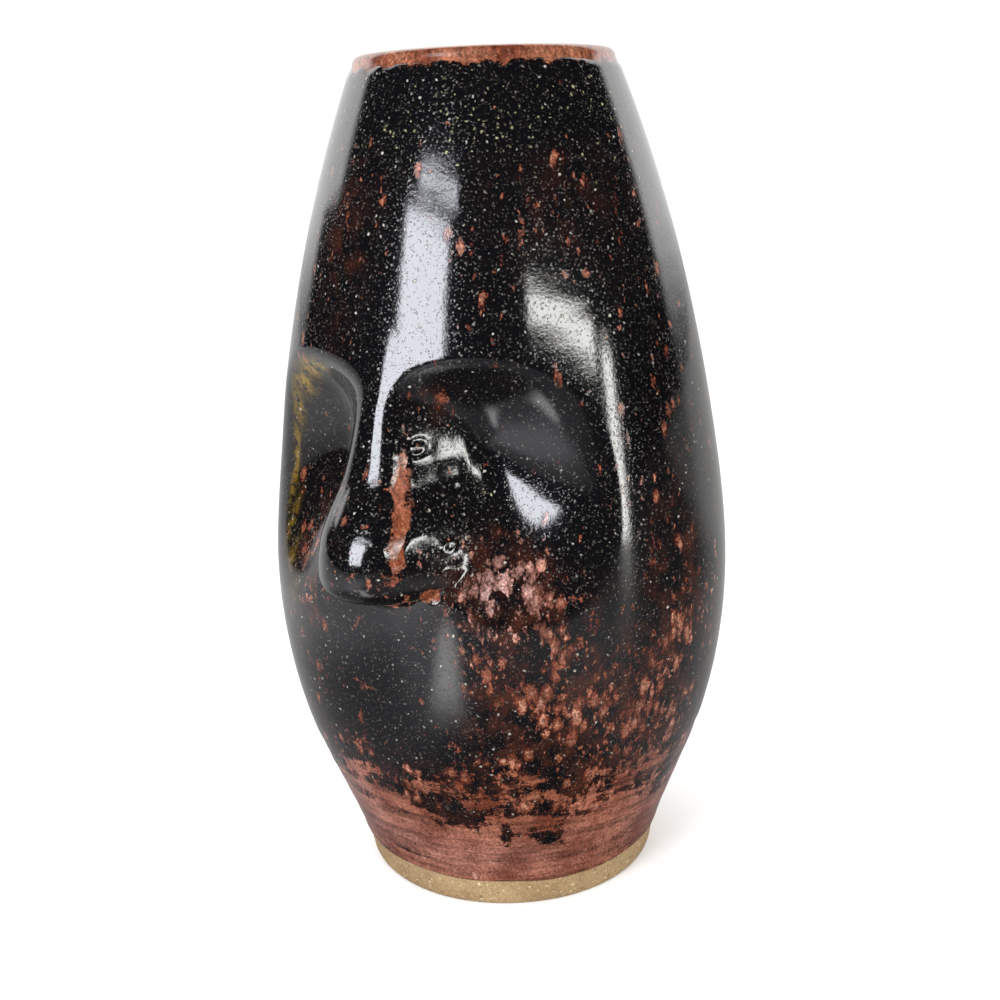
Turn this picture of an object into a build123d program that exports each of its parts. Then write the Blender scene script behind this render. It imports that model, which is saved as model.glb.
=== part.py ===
from build123d import *

import math
import os
from functools import cache

# Face vase: a stoneware pot with a face shaped into its front, in millimetres and degrees.
# The foot's underside is centred on the origin, +Z is up and the nose points along -Y.

# Outline of the glazed pot, from the foot's underside to the lip
height = 254.0
foot_radius = 47.1
foot_line_height = 8.8
foot_line_radius = 49.6
hip_height = 45.0
hip_radius = 63.0
belly_height = 97.0
belly_radius = 71.8
chest_height = 145.0
chest_radius = 67.4
shoulder_height = 195.0
shoulder_radius = 57.5
lip_radius = 38.2

# Clay
wall_at_foot = 7.0
wall_at_lip = 4.4
lip_round = 1.9
foot_edge_round = 1.2
register_height = 3.0
luting_gap = 0.2

# Glaze coats
undercoat = 0.5
overcoat = 0.5
liner_coat = 0.5
overcoat_low = 40.0
rim_band = 5.0

# Eye hollows, one each side of the nose, each leaning outward as it goes down
hollow_angle = 27.0
hollow_lean = 0.15
hollow_height = 145.0
hollow_depth = 15.5
hollow_inner_span = 27.0
hollow_outer_span = 31.0
hollow_drop = 48.0
hollow_brow = 33.0

# Ridge of the nose: its rise over the pot's outline, at the tip and at heights above the tip
nose_tip_height = 117.0
nose_tip_rise = 14.2
nose_mid_up = 23.0
nose_mid_rise = 5.6
nose_bridge_up = 38.0
nose_bridge_rise = 1.6
nose_root_up = 55.0
nose_root_rise = -2.4
nose_fade_up = 83.0
nose_fade_rise = -9.0

# Underside and flanks of the nose
nose_under_drop = 9.8
nose_under_sink = 10.0
nose_under_power = 2.8
ridge_round_tip = 20.0
ridge_round_bridge = 9.6
flank_slope_tip = 1.7
flank_slope_bridge = 1.25
flank_blend = 6.0
crease_sharpness = 0.12

# The nose's patch on the pot, and how deep it is keyed into the scored wall
key_depth = 1.5
key_top_up = 67.0
key_top_half_width = 7.0
key_base_half_width = 25.0
key_corner = 6.0
key_base_margin = 2.5

# Section spacing of the lofts
angle_count = 72
angle_crowding = 35.0
plain_step = 6.0
face_step = 3.5
crease_step = 1.1
crease_reach = 4.0
lip_step = 0.8
lip_reach = 4.0
lip_steps = 5

# How far a cutting solid runs past what it cuts
overrun = 2.0

# What follows from the sizes above
coats = undercoat + overcoat
clay_height = height - undercoat
floor_height = foot_line_height + register_height
overcoat_high = height - rim_band
nose_under_height = nose_tip_height - nose_under_drop
nose_fade_height = nose_tip_height + nose_fade_up
hollow_top = hollow_height + hollow_brow
front_reach = belly_radius + nose_tip_rise + overrun

outline = Spline(
    (foot_radius, 0),
    (foot_line_radius, foot_line_height),
    (hip_radius, hip_height),
    (belly_radius, belly_height),
    (chest_radius, chest_height),
    (shoulder_radius, shoulder_height),
    (lip_radius, height),
)
nose_ridge = Spline(
    (nose_tip_rise, nose_tip_height),
    (nose_mid_rise, nose_tip_height + nose_mid_up),
    (nose_bridge_rise, nose_tip_height + nose_bridge_up),
    (nose_root_rise, nose_tip_height + nose_root_up),
    (nose_fade_rise, nose_fade_height),
    tangents=((0, 1), (nose_fade_rise - nose_root_rise, nose_fade_up - nose_root_up)),
)


def across(curve, z):
    """Distance of a rising curve from its axis at height z."""
    low, high = 0.0, 1.0
    for _ in range(40):
        middle = (low + high) / 2
        if (curve @ middle).Y < z:
            low = middle
        else:
            high = middle
    return (curve @ middle).X


@cache
def pot_radius(z):
    """Radius of the thrown pot at height z, before its face is shaped."""
    return across(outline, min(z, height))


@cache
def nose_rise(z):
    """Rise of the nose's ridge over the pot, rounded under below the tip."""
    if z >= nose_tip_height:
        return across(nose_ridge, min(z, nose_fade_height)) - max(z - nose_fade_height, 0)
    share = min((nose_tip_height - z) / nose_under_drop, 1.0)
    rounded = (1 - share**nose_under_power) ** (1 / nose_under_power)
    return (nose_tip_rise + nose_under_sink) * rounded - nose_under_sink


def hollow_at(angle, z):
    """Depth that the two pressed hollows take off the pot at an angle from the nose."""
    above = z - hollow_height
    middle = hollow_angle - hollow_lean * above
    upright = (above / hollow_drop) ** 2 + (max(above, 0) / hollow_brow) ** 4
    depth = 0.0
    for side in (-1, 1):
        away = side * angle - middle
        span = hollow_outer_span if away > 0 else hollow_inner_span
        depth += hollow_depth * max(1 - (away / span) ** 2 - upright, 0) ** 2
    return depth


def pressed_radius(angle, z):
    """Radius of the pot with the eye hollows pressed into it."""
    return pot_radius(z) - hollow_at(angle, z)


def face_radius(angle, z):
    """Radius of the pot with its hollows and the nose, which blends into the hollows' sides."""
    pressed = pressed_radius(angle, z)
    if z < nose_under_height:
        return pressed
    down = min(max(1 - (z - nose_tip_height) / nose_root_up, 0), 1)
    slope = flank_slope_bridge + (flank_slope_tip - flank_slope_bridge) * ease(down)
    rounding = ridge_round_bridge + (ridge_round_tip - ridge_round_bridge) * ease(down)
    aside = pot_radius(z) * math.radians(angle)
    ridge = pot_radius(z) + nose_rise(z) - slope * (math.hypot(aside, rounding) - rounding)
    under = max((nose_tip_height - z) / nose_under_drop, 0)
    blend = flank_blend * max(1 - under, crease_sharpness)
    meet = max(blend - abs(pressed - ridge), 0)
    return max(pressed, ridge) + meet**2 / (4 * blend)


def ease(share):
    """A share from 0 to 1, eased in and out."""
    return share * share * (3 - 2 * share)


def lip_inset(z, top):
    """How far a rounded lip has drawn in at height z below its top."""
    up = min(max(z - (top - lip_round), 0), lip_round)
    return lip_round - math.sqrt(lip_round**2 - up**2)


def between(low, high, step):
    """Evenly spaced heights from low up to, but without, high."""
    count = max(2, round((high - low) / step))
    return [low + (high - low) * i / count for i in range(count)]


def section_heights(low, high, top):
    """Section heights from low to high, closer together over the face and a lip that ends at top."""
    round_start = top - lip_round
    crease_low = nose_under_height - crease_reach
    crease_high = nose_tip_height + crease_reach
    zones = [
        (foot_line_height, crease_low, plain_step),
        (crease_low, crease_high, crease_step),
        (crease_high, hollow_top, face_step),
        (hollow_top, round_start - lip_reach, plain_step),
        (round_start - lip_reach, round_start, lip_step),
    ]
    levels = []
    for zone_low, zone_high, step in zones:
        start = max(zone_low, low)
        end = min(zone_high, high)
        if start < end:
            levels += between(start, end, step)
    for i in range(lip_steps):
        z = round_start + lip_round * math.sin(math.pi / 2 * i / lip_steps)
        if low < z < high:
            levels.append(z)
    return [*levels, high]


def section_angles():
    """Angles round the pot, starting at its back and closer together over the face."""
    shares = [2 * i / angle_count - 1 for i in range(angle_count)]
    return [180 * share - angle_crowding * math.sin(math.pi * share) for share in shares]


def section(radius_at, z, skin):
    """A closed curve round the pot at height z, moved out by skin."""
    angles = section_angles()
    points = [Vector(0, -radius_at(angle, z) - skin, z).rotate(Axis.Z, angle) for angle in angles]
    return Wire([Edge.make_spline(points, periodic=True, parameters=[*angles, angles[0] + 360])])


def outside(radius_at, skin, low, high, top):
    """Solid within the pot's outside from low to high, moved out by skin, its rounded lip ending at top."""
    levels = section_heights(low, high, top)
    return Solid.make_loft([section(radius_at, z, skin - lip_inset(z, top)) for z in levels])


def inside(skin, low, high):
    """Solid within the pot's inside from low to high, moved in by skin from the clay."""
    sections = []
    for z in section_heights(low, high, clay_height):
        share = (z - foot_line_height) / (clay_height - foot_line_height)
        wall = wall_at_foot + (wall_at_lip - wall_at_foot) * share
        sections.append(section(pressed_radius, z, lip_inset(z, clay_height) - coats - wall - skin))
    return Solid.make_loft(sections)


def side(solid):
    """The curved side of a lofted solid."""
    return solid.faces().filter_by(GeomType.PLANE, reverse=True)


def bottom(solid):
    """The flat lower end of a lofted solid."""
    return solid.faces().filter_by(GeomType.PLANE).sort_by(Axis.Z)[0]


def top(solid):
    """The flat upper end of a lofted solid."""
    return solid.faces().filter_by(GeomType.PLANE).sort_by(Axis.Z)[-1]


def ring(outer_end, inner_end):
    """Flat ring between the ends of two lofted solids at one height."""
    return Face(outer_end.outer_wire(), [inner_end.outer_wire()])


def make_shell(faces):
    """Solid closed by the given faces."""
    return Solid(Shell(faces))


def make_floor_disc():
    """Floor of the pot: its bare edge is the foot, and a low step registers the wall on it."""
    seat_radius = foot_line_radius - coats
    step_radius = seat_radius - wall_at_foot - luting_gap
    half_section = Polyline(
        (0, 0),
        (foot_radius, 0),
        (seat_radius, foot_line_height),
        (step_radius, foot_line_height),
        (step_radius, floor_height),
        (0, floor_height),
        close=True,
    )
    disc = revolve(Plane.XZ * make_face(half_section), Axis.Z)
    foot_edge = disc.edges().filter_by(GeomType.CIRCLE).sort_by(Axis.Z)[0]
    return fillet(foot_edge, foot_edge_round)


def make_nose_patch():
    """Rounded triangle on the pot's front that holds the nose, run back to the axis."""
    corner_height = nose_under_height - key_base_margin + key_corner
    corner_aside = key_base_half_width - key_corner
    rounds = [
        Pos(-corner_aside, corner_height) * Circle(key_corner),
        Pos(corner_aside, corner_height) * Circle(key_corner),
        Pos(0, nose_tip_height + key_top_up - key_top_half_width) * Circle(key_top_half_width),
    ]
    return extrude(Plane.XZ * make_hull(Sketch(children=rounds).edges()), front_reach)


# Clay pieces: the nose is keyed into the wall, and the wall stands on the floor
clay = outside(face_radius, -coats, foot_line_height, clay_height, clay_height)
socket = inside(0, foot_line_height, floor_height)
bore = inside(0, floor_height, clay_height)
clay_foot = ring(bottom(clay), bottom(socket))
clay_lip = ring(top(clay), top(bore))
plain_wall = make_shell([*side(clay), clay_lip, *side(bore), *side(socket), clay_foot])
nose_seat = outside(pressed_radius, -coats - key_depth, foot_line_height, clay_height, clay_height)
nose_patch = make_nose_patch()
nose = (clay & nose_patch) - nose_seat
thrown_wall = plain_wall - (nose_patch - nose_seat)
floor_disc = make_floor_disc()

# Rust coat: all over the outside and the lip, in three stretches, of which the middle one lies under the black
rust_low = outside(face_radius, -overcoat, foot_line_height, overcoat_low, height)
rust_middle = outside(face_radius, -overcoat, overcoat_low, overcoat_high, height)
rust_high = outside(face_radius, -overcoat, overcoat_high, height, height)
mouth = Solid.extrude(top(bore), Vector(0, 0, undercoat))
rust_foot = ring(bottom(rust_low), bottom(clay))
rust_lip = ring(top(rust_high), top(mouth))
rust_skin = [*side(rust_low), *side(rust_middle), *side(rust_high)]
rust_glaze = make_shell([*rust_skin, rust_lip, *side(mouth), clay_lip, *side(clay), rust_foot])

# Black coat over the rust, and the liner on the inside and the floor
black = outside(face_radius, 0, overcoat_low, overcoat_high, height)
black_low = ring(bottom(black), bottom(rust_middle))
black_high = ring(top(black), top(rust_middle))
black_glaze = make_shell([*side(black), black_high, *side(rust_middle), black_low])
room = inside(liner_coat, floor_height + liner_coat, clay_height)
liner_lip = ring(top(bore), top(room))
liner_glaze = make_shell([*side(bore), liner_lip, *side(room), bottom(room), bottom(bore)])

os.makedirs("parts", exist_ok=True)
nodes = {
    "thrown_wall": thrown_wall,
    "floor_disc": floor_disc,
    "nose": nose,
    "rust_glaze": rust_glaze,
    "black_glaze": black_glaze,
    "liner_glaze": liner_glaze,
}
for name, node in nodes.items():
    export_step(node, f"parts/{name}.step")
    print(name, "solids", len(node.solids()), "volume", round(node.volume))
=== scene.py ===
"""Face vase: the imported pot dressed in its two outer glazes, its liner and its bare foot."""

import logging
import math
from dataclasses import dataclass
from enum import Enum

import bpy
import numpy as np
from mathutils import Matrix, Quaternion, Vector, noise


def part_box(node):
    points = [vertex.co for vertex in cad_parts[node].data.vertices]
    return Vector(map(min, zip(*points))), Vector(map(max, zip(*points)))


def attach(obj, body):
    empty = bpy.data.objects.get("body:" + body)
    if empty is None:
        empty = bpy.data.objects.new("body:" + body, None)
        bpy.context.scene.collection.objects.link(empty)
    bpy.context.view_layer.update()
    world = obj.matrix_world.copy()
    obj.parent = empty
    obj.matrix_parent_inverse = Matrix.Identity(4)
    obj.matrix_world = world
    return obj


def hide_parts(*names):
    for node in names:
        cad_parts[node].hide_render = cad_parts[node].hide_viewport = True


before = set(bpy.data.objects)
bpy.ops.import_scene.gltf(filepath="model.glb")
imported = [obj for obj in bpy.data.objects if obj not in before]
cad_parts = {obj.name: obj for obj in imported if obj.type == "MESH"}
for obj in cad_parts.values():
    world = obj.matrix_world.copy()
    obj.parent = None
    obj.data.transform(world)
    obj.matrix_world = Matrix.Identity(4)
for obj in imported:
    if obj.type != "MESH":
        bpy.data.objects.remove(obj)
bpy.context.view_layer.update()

LOG = logging.getLogger("face_vase")
BODY = "root"
SEED_DIRECTION = (1.0, -2.3, 1.7)

Array = np.ndarray
Piece = bpy.types.Object
Tree = bpy.types.NodeTree
Socket = bpy.types.NodeSocket
Value = Socket | float | tuple
Feeds = dict[str | int, Value]
Rgba = tuple[float, float, float, float]
Pair = tuple[float, float]


class Seed(float, Enum):
    """Shift that gives each use of the soft noise its own pattern."""

    LUMPS = 3.1
    SMALL_LUMPS = 8.4
    DENTS = 9.7
    RINGS = 5.5
    WORKED = 15.2
    ROLLED_EDGE = 12.0
    LOW_EDGE = 21.0
    HIGH_EDGE = 33.0
    RUST = 44.0
    RAGGED = 61.0
    FOOT = 71.0
    FOOT_GRAIN = 75.0


def ease(share: Array) -> Array:
    """A share clipped to 0 to 1 and eased in and out."""
    share = np.clip(share, 0.0, 1.0)
    return share * share * (3 - 2 * share)


def soft_noise(points: Array, grain: float, seed: Seed) -> Array:
    """Smooth noise at points.

    Args:
        points: positions in metres, with the three coordinates last.
        grain: size of the noise's features in metres.
        seed: which pattern it is.

    Returns:
        Values from about -1 to 1, one for each point.
    """
    moved = points.reshape(-1, 3) / grain + np.array(SEED_DIRECTION) * seed.value
    values = [noise.noise(point) for point in moved.tolist()]
    return np.array(values).reshape(points.shape[:-1])


def place(radius: Array, angle: Array, z: Array) -> Array:
    """Points at a radius, an angle from the nose and a height, with the coordinates last."""
    turn = np.radians(angle)
    return np.stack(np.broadcast_arrays(radius * np.sin(turn), -radius * np.cos(turn), z), axis=-1)


def spaced(low: float, high: float, step: float) -> Array:
    """Evenly spaced values from low to high, or down to it, without the last."""
    return np.linspace(low, high, max(2, round(abs(high - low) / step)), endpoint=False)


def stepped(*marks: float) -> Array:
    """Values from the first mark to the last, where every second mark is the step between its neighbours."""
    return np.concatenate([spaced(marks[i], marks[i + 2], marks[i + 1]) for i in range(0, len(marks) - 2, 2)])


class Curve:
    """A smooth curve through points, read as its distance from the axis at a height."""

    RUN_POINTS = 80

    def __init__(self, points: tuple[Pair, ...], start: Pair | None = None, end: Pair | None = None) -> None:
        """Fits the curve.

        Args:
            points: distances and heights, from low to high.
            start: direction at the first point, or None to leave it free.
            end: direction at the last point, or None to leave it free.
        """
        knots = np.array(points, float)
        gaps = np.linalg.norm(np.diff(knots, axis=0), axis=1)
        slopes = np.diff(knots, axis=0) / gaps[:, None]
        along = np.concatenate([[0], np.cumsum(gaps)])
        system = np.eye(len(knots))
        known = np.zeros_like(knots)
        known[0] = self._end_slope(along[:4], knots[:4], start)
        known[-1] = self._end_slope(along[:-5:-1], knots[:-5:-1], end)
        for i in range(1, len(knots) - 1):
            system[i, i - 1 : i + 2] = gaps[i], 2 * (gaps[i - 1] + gaps[i]), gaps[i - 1]
            known[i] = 3 * (gaps[i] * slopes[i - 1] + gaps[i - 1] * slopes[i])
        tangents = np.linalg.solve(system, known)
        share = np.linspace(0, 1, self.RUN_POINTS)[:, None]
        runs = [
            self._run(knots[i], knots[i + 1], tangents[i] * gaps[i], tangents[i + 1] * gaps[i], share)
            for i in range(len(gaps))
        ]
        self.distances, self.heights = np.concatenate(runs).T

    @staticmethod
    def _end_slope(along: Array, knots: Array, aim: Pair | None) -> Array:
        """Slope at an end.

        Args:
            along: distance along the curve of the end's four points, from the end inward.
            knots: those points.
            aim: direction that the slope takes, or None to leave it free.

        Returns:
            The slope of the cubic through the points, turned to the aim where there is one.
        """
        free = np.polyfit(along - along[0], knots, 3)[2]
        if aim is None:
            return free
        return np.array(aim, float) * np.abs(free).sum() / np.abs(aim).sum()

    @staticmethod
    def _run(a: Array, b: Array, leave: Array, arrive: Array, t: Array) -> Array:
        """Points of one stretch from a to b with the given end tangents."""
        bend = (2 * t**3 - 3 * t**2 + 1) * a + (3 * t**2 - 2 * t**3) * b
        return bend + (t**3 - 2 * t**2 + t) * leave + (t**3 - t**2) * arrive

    def at(self, height: Array) -> Array:
        """Distance from the axis at each height."""
        return np.interp(height, self.heights, self.distances)


@dataclass(frozen=True)
class Blister:
    """A small crater with a raised rim, where a gas bubble burst in the glaze, in degrees and metres."""

    angle: float
    height: float
    reach: float
    rise: float


@dataclass
class PotForm:
    """The pot's shape as one formula: a thrown outline, two pressed hollows and a nose.

    Angles are degrees from the nose, positive to the right of someone who faces it. Lengths are metres.
    """

    height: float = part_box("rust_glaze")[1].z
    foot_radius: float = 0.0471
    foot_line: float = 0.0088
    foot_line_radius: float = 0.0496
    low_belly: Pair = (0.0630, 0.045)
    belly: Pair = (0.0718, 0.097)
    chest: Pair = (0.0674, 0.145)
    shoulder: Pair = (0.0575, 0.195)
    lip_radius: float = 0.0382
    coats: float = 0.0010
    undercoat: float = 0.0005
    wall_at_foot: float = 0.0070
    wall_at_lip: float = 0.0044
    lip_round: float = 0.0019
    hollow_angle: float = 27.0
    hollow_lean: float = 150.0
    hollow_height: float = 0.145
    hollow_depth: float = 0.0155
    hollow_inner_span: float = 27.0
    hollow_outer_span: float = 31.0
    hollow_drop: float = 0.048
    hollow_brow: float = 0.033
    nose_tip: float = 0.117
    nose_tip_rise: float = 0.0142
    nose_bridge_rise: float = 0.0056
    nose_bridge_up: float = 0.023
    nose_brow_rise: float = 0.0016
    nose_brow_up: float = 0.038
    nose_root_rise: float = -0.0024
    nose_root_up: float = 0.055
    nose_fade_rise: float = -0.0090
    nose_fade_up: float = 0.083
    nose_fade_aim: Pair = (-0.0066, 0.028)
    nose_under_drop: float = 0.0098
    nose_under_sink: float = 0.010
    nose_under_power: float = 2.8
    ridge_round_tip: float = 0.020
    ridge_round_bridge: float = 0.0096
    flank_slope_tip: float = 1.7
    flank_slope_bridge: float = 1.25
    flank_blend: float = 0.006
    crease_sharpness: float = 0.12
    relief_floor: float = 0.00010
    lump_grain: float = 0.050
    lump_rise: float = 0.00016
    small_lump_share: float = 0.35
    small_lump_ratio: float = 2.6
    dent_grain: float = 0.010
    dent_share: float = 0.13
    ring_pitch: float = 0.0075
    ring_rise: float = 0.000010
    ring_low_gain: float = 9.0
    ring_low_top: float = 0.070
    ring_low_span: float = 0.060
    ring_wander: float = 2.0
    ring_wander_grain: float = 0.08
    worked_angle: float = 14.0
    worked_height: float = 0.134
    worked_reach: float = 0.011
    worked_grain: float = 0.0060
    worked_rise: float = 0.00045
    worked_base: float = 0.4
    pool_rise: float = 0.00030
    pool_reach: float = 0.0010
    pool_span: float = 6.0
    blister_rim: float = 0.45
    blisters: tuple[Blister, ...] = (
        Blister(10.0, 0.1500, 0.0019, 0.00030),
        Blister(18.4, 0.1375, 0.0019, 0.00030),
        Blister(18.6, 0.1325, 0.0012, 0.00022),
        Blister(18.0, 0.1235, 0.0014, 0.00026),
        Blister(17.8, 0.1165, 0.0013, 0.00024),
        Blister(17.5, 0.1130, 0.0012, 0.00024),
        Blister(9.6, 0.1188, 0.0013, 0.00022),
        Blister(12.4, 0.1668, 0.0013, 0.00020),
        Blister(30.0, 0.0930, 0.0012, 0.00020),
    )

    def __post_init__(self) -> None:
        """Fits the outline and the nose's ridge."""
        foot = (self.foot_radius, 0), (self.foot_line_radius, self.foot_line)
        body = self.low_belly, self.belly, self.chest, self.shoulder
        self.outline = Curve((*foot, *body, (self.lip_radius, self.height)))
        ridge = (
            (self.nose_tip_rise, self.nose_tip),
            (self.nose_bridge_rise, self.nose_tip + self.nose_bridge_up),
            (self.nose_brow_rise, self.nose_tip + self.nose_brow_up),
            (self.nose_root_rise, self.nose_tip + self.nose_root_up),
            (self.nose_fade_rise, self.nose_tip + self.nose_fade_up),
        )
        self.ridge = Curve(ridge, start=(0, 1), end=self.nose_fade_aim)

    @property
    def clay_top(self) -> float:
        """Height of the clay's lip, under the glaze."""
        return self.height - self.undercoat

    def pressed(self, angle: Array, z: Array) -> Array:
        """Radius of the pot with the two eye hollows pressed into it.

        Args:
            angle: angles from the nose in degrees.
            z: heights in metres.

        Returns:
            The radius at each place, in metres.
        """
        above = z - self.hollow_height
        middle = self.hollow_angle - self.hollow_lean * above
        upright = (above / self.hollow_drop) ** 2 + (np.maximum(above, 0) / self.hollow_brow) ** 4
        radius = self.outline.at(z)
        for side in (-1, 1):
            away = side * angle - middle
            span = np.where(away > 0, self.hollow_outer_span, self.hollow_inner_span)
            radius = radius - self.hollow_depth * np.maximum(1 - (away / span) ** 2 - upright, 0) ** 2
        return radius

    def nose_rise(self, z: Array) -> Array:
        """Rise of the nose's ridge over the pot, rounded under below the tip.

        Args:
            z: heights in metres.

        Returns:
            The rise at each height, in metres.
        """
        fade = self.nose_tip + self.nose_fade_up
        over = self.ridge.at(np.clip(z, self.nose_tip, fade)) - np.maximum(z - fade, 0)
        share = np.clip((self.nose_tip - z) / self.nose_under_drop, 0, 1)
        rounded = (1 - share**self.nose_under_power) ** (1 / self.nose_under_power)
        under = (self.nose_tip_rise + self.nose_under_sink) * rounded - self.nose_under_sink
        return np.where(z >= self.nose_tip, over, under)

    def face(self, angle: Array, z: Array) -> Array:
        """Radius of the pot with its hollows and its nose.

        Args:
            angle: angles from the nose in degrees.
            z: heights in metres.

        Returns:
            The radius at each place, in metres.
        """
        pressed = self.pressed(angle, z)
        down = ease(1 - (z - self.nose_tip) / self.nose_root_up)
        slope = self.flank_slope_bridge + (self.flank_slope_tip - self.flank_slope_bridge) * down
        rounding = self.ridge_round_bridge + (self.ridge_round_tip - self.ridge_round_bridge) * down
        plain = self.outline.at(z)
        aside = plain * np.radians(angle)
        ridge = plain + self.nose_rise(z) - slope * (np.hypot(aside, rounding) - rounding)
        under = np.clip((self.nose_tip - z) / self.nose_under_drop, 0, 1)
        blend = self.flank_blend * np.maximum(1 - under, self.crease_sharpness)
        meet = np.maximum(blend - np.abs(pressed - ridge), 0)
        shaped = np.maximum(pressed, ridge) + meet**2 / (4 * blend)
        return np.where(z < self.nose_tip - self.nose_under_drop, pressed, shaped)

    def relief(self, angle: Array, z: Array) -> Array:
        """Small unevenness of the hand-made surface: lumps, throwing rings, finger marks and blisters.

        Args:
            angle: angles from the nose in degrees.
            z: heights in metres.

        Returns:
            How far the surface stands out at each place, in metres.
        """
        points, plain = place(self.face(angle, z), angle, z), self.outline.at(z)
        small = soft_noise(points, self.lump_grain / self.small_lump_ratio, Seed.SMALL_LUMPS)
        lumps = soft_noise(points, self.lump_grain, Seed.LUMPS) + self.small_lump_share * small
        lumps = lumps + self.dent_share * soft_noise(points, self.dent_grain, Seed.DENTS)
        turn = 2 * np.pi * (z / self.ring_pitch + angle / 360)
        low = 1 + self.ring_low_gain * ease((self.ring_low_top - z) / self.ring_low_span)
        wander = self.ring_wander * soft_noise(points, self.ring_wander_grain, Seed.RINGS)
        uneven = self.lump_rise * lumps + np.sin(turn + wander) * self.ring_rise * low
        beside = plain * np.radians(angle - self.worked_angle) / self.worked_reach
        worked = np.exp(-(beside**2) - ((z - self.worked_height) / (2 * self.worked_reach)) ** 2)
        marks = self.worked_base + soft_noise(points, self.worked_grain, Seed.WORKED)
        uneven = uneven + self.worked_rise * worked * marks
        for spot in self.blisters:
            away = np.hypot(plain * np.radians(angle - spot.angle), z - spot.height) / spot.reach
            uneven = uneven + spot.rise * np.exp(-(((away - 1) / self.blister_rim) ** 2))
        uneven = np.hypot(uneven, self.relief_floor) / 2 + uneven / 2 - self.relief_floor
        crease = (z - self.nose_tip + self.nose_under_drop) / self.pool_reach
        return uneven + self.pool_rise * np.exp(-(crease**2) - (angle / self.pool_span) ** 4)

    def clay(self, angle: Array, z: Array) -> Array:
        """Radius of the clay's outside, with the small unevenness of the surface."""
        return self.face(angle, z) + self.relief(angle, z) - self.coats

    def bore(self, angle: Array, z: Array) -> Array:
        """Radius of the clay's inside, before its lip is rounded.

        Args:
            angle: angles from the nose in degrees.
            z: heights in metres.

        Returns:
            The radius at each place, in metres.
        """
        share = (z - self.foot_line) / (self.clay_top - self.foot_line)
        wall = self.wall_at_foot + (self.wall_at_lip - self.wall_at_foot) * share
        return self.pressed(angle, z) - self.coats - wall


class Ends(Enum):
    """How a run of rings is closed."""

    LOOP = "the last ring joins the first"
    POLES = "both end rings close to a point on the axis"


def ring_mesh(name: str, rings: Array, ends: Ends) -> Piece:
    """Makes a closed mesh from rings of points.

    Args:
        name: name of the new piece.
        rings: points in metres, rows of rings that each go round the pot once.
        ends: how the first and last rings are closed.

    Returns:
        The new object, smooth shaded and linked to the scene.
    """
    rows, columns = rings.shape[:2]
    index = np.arange(rows * columns).reshape(rows, columns)
    vertices = rings.reshape(-1, 3).tolist()
    if ends is Ends.LOOP:
        index = np.concatenate([index, index[:1]])
    beside = np.roll(index, -1, axis=1)
    quads = np.stack([index[:-1], beside[:-1], beside[1:], index[1:]], axis=-1)
    faces = quads.reshape(-1, 4).tolist()
    if ends is Ends.POLES:
        start, finish = len(vertices), len(vertices) + 1
        vertices += [[0, 0, rings[0, 0, 2]], [0, 0, rings[-1, 0, 2]]]
        faces += [[start, b, a] for a, b in zip(index[0].tolist(), beside[0].tolist())]
        faces += [[a, b, finish] for a, b in zip(index[-1].tolist(), beside[-1].tolist())]
    mesh = bpy.data.meshes.new(name)
    mesh.from_pydata(vertices, [], faces)
    mesh.polygons.foreach_set("use_smooth", np.ones(len(faces), bool))
    return link(bpy.data.objects.new(name, mesh))


def link(piece: Piece) -> Piece:
    """Puts an object into the scene."""
    bpy.context.scene.collection.objects.link(piece)
    return piece


@dataclass(frozen=True)
class Bloom:
    """A soft patch of the glaze, by its middle and its reach, in degrees and metres."""

    angle: float
    height: float
    reach_angle: float
    reach_height: float
    strength: float

    def at(self, angle: Array, z: Array) -> Array:
        """Strength of the patch at each place."""
        across = (np.mod(angle - self.angle + 180, 360) - 180) / self.reach_angle
        return self.strength * np.exp(-(across**2) - ((z - self.height) / self.reach_height) ** 2)


@dataclass(frozen=True)
class Band:
    """A level that sets in at a height, going up the pot, or going down it where the span is negative."""

    strength: float
    height: float
    span: float

    def at(self, z: Array) -> Array:
        """Strength of the band at each height."""
        return self.strength * ease((z - self.height) / self.span)


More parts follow.
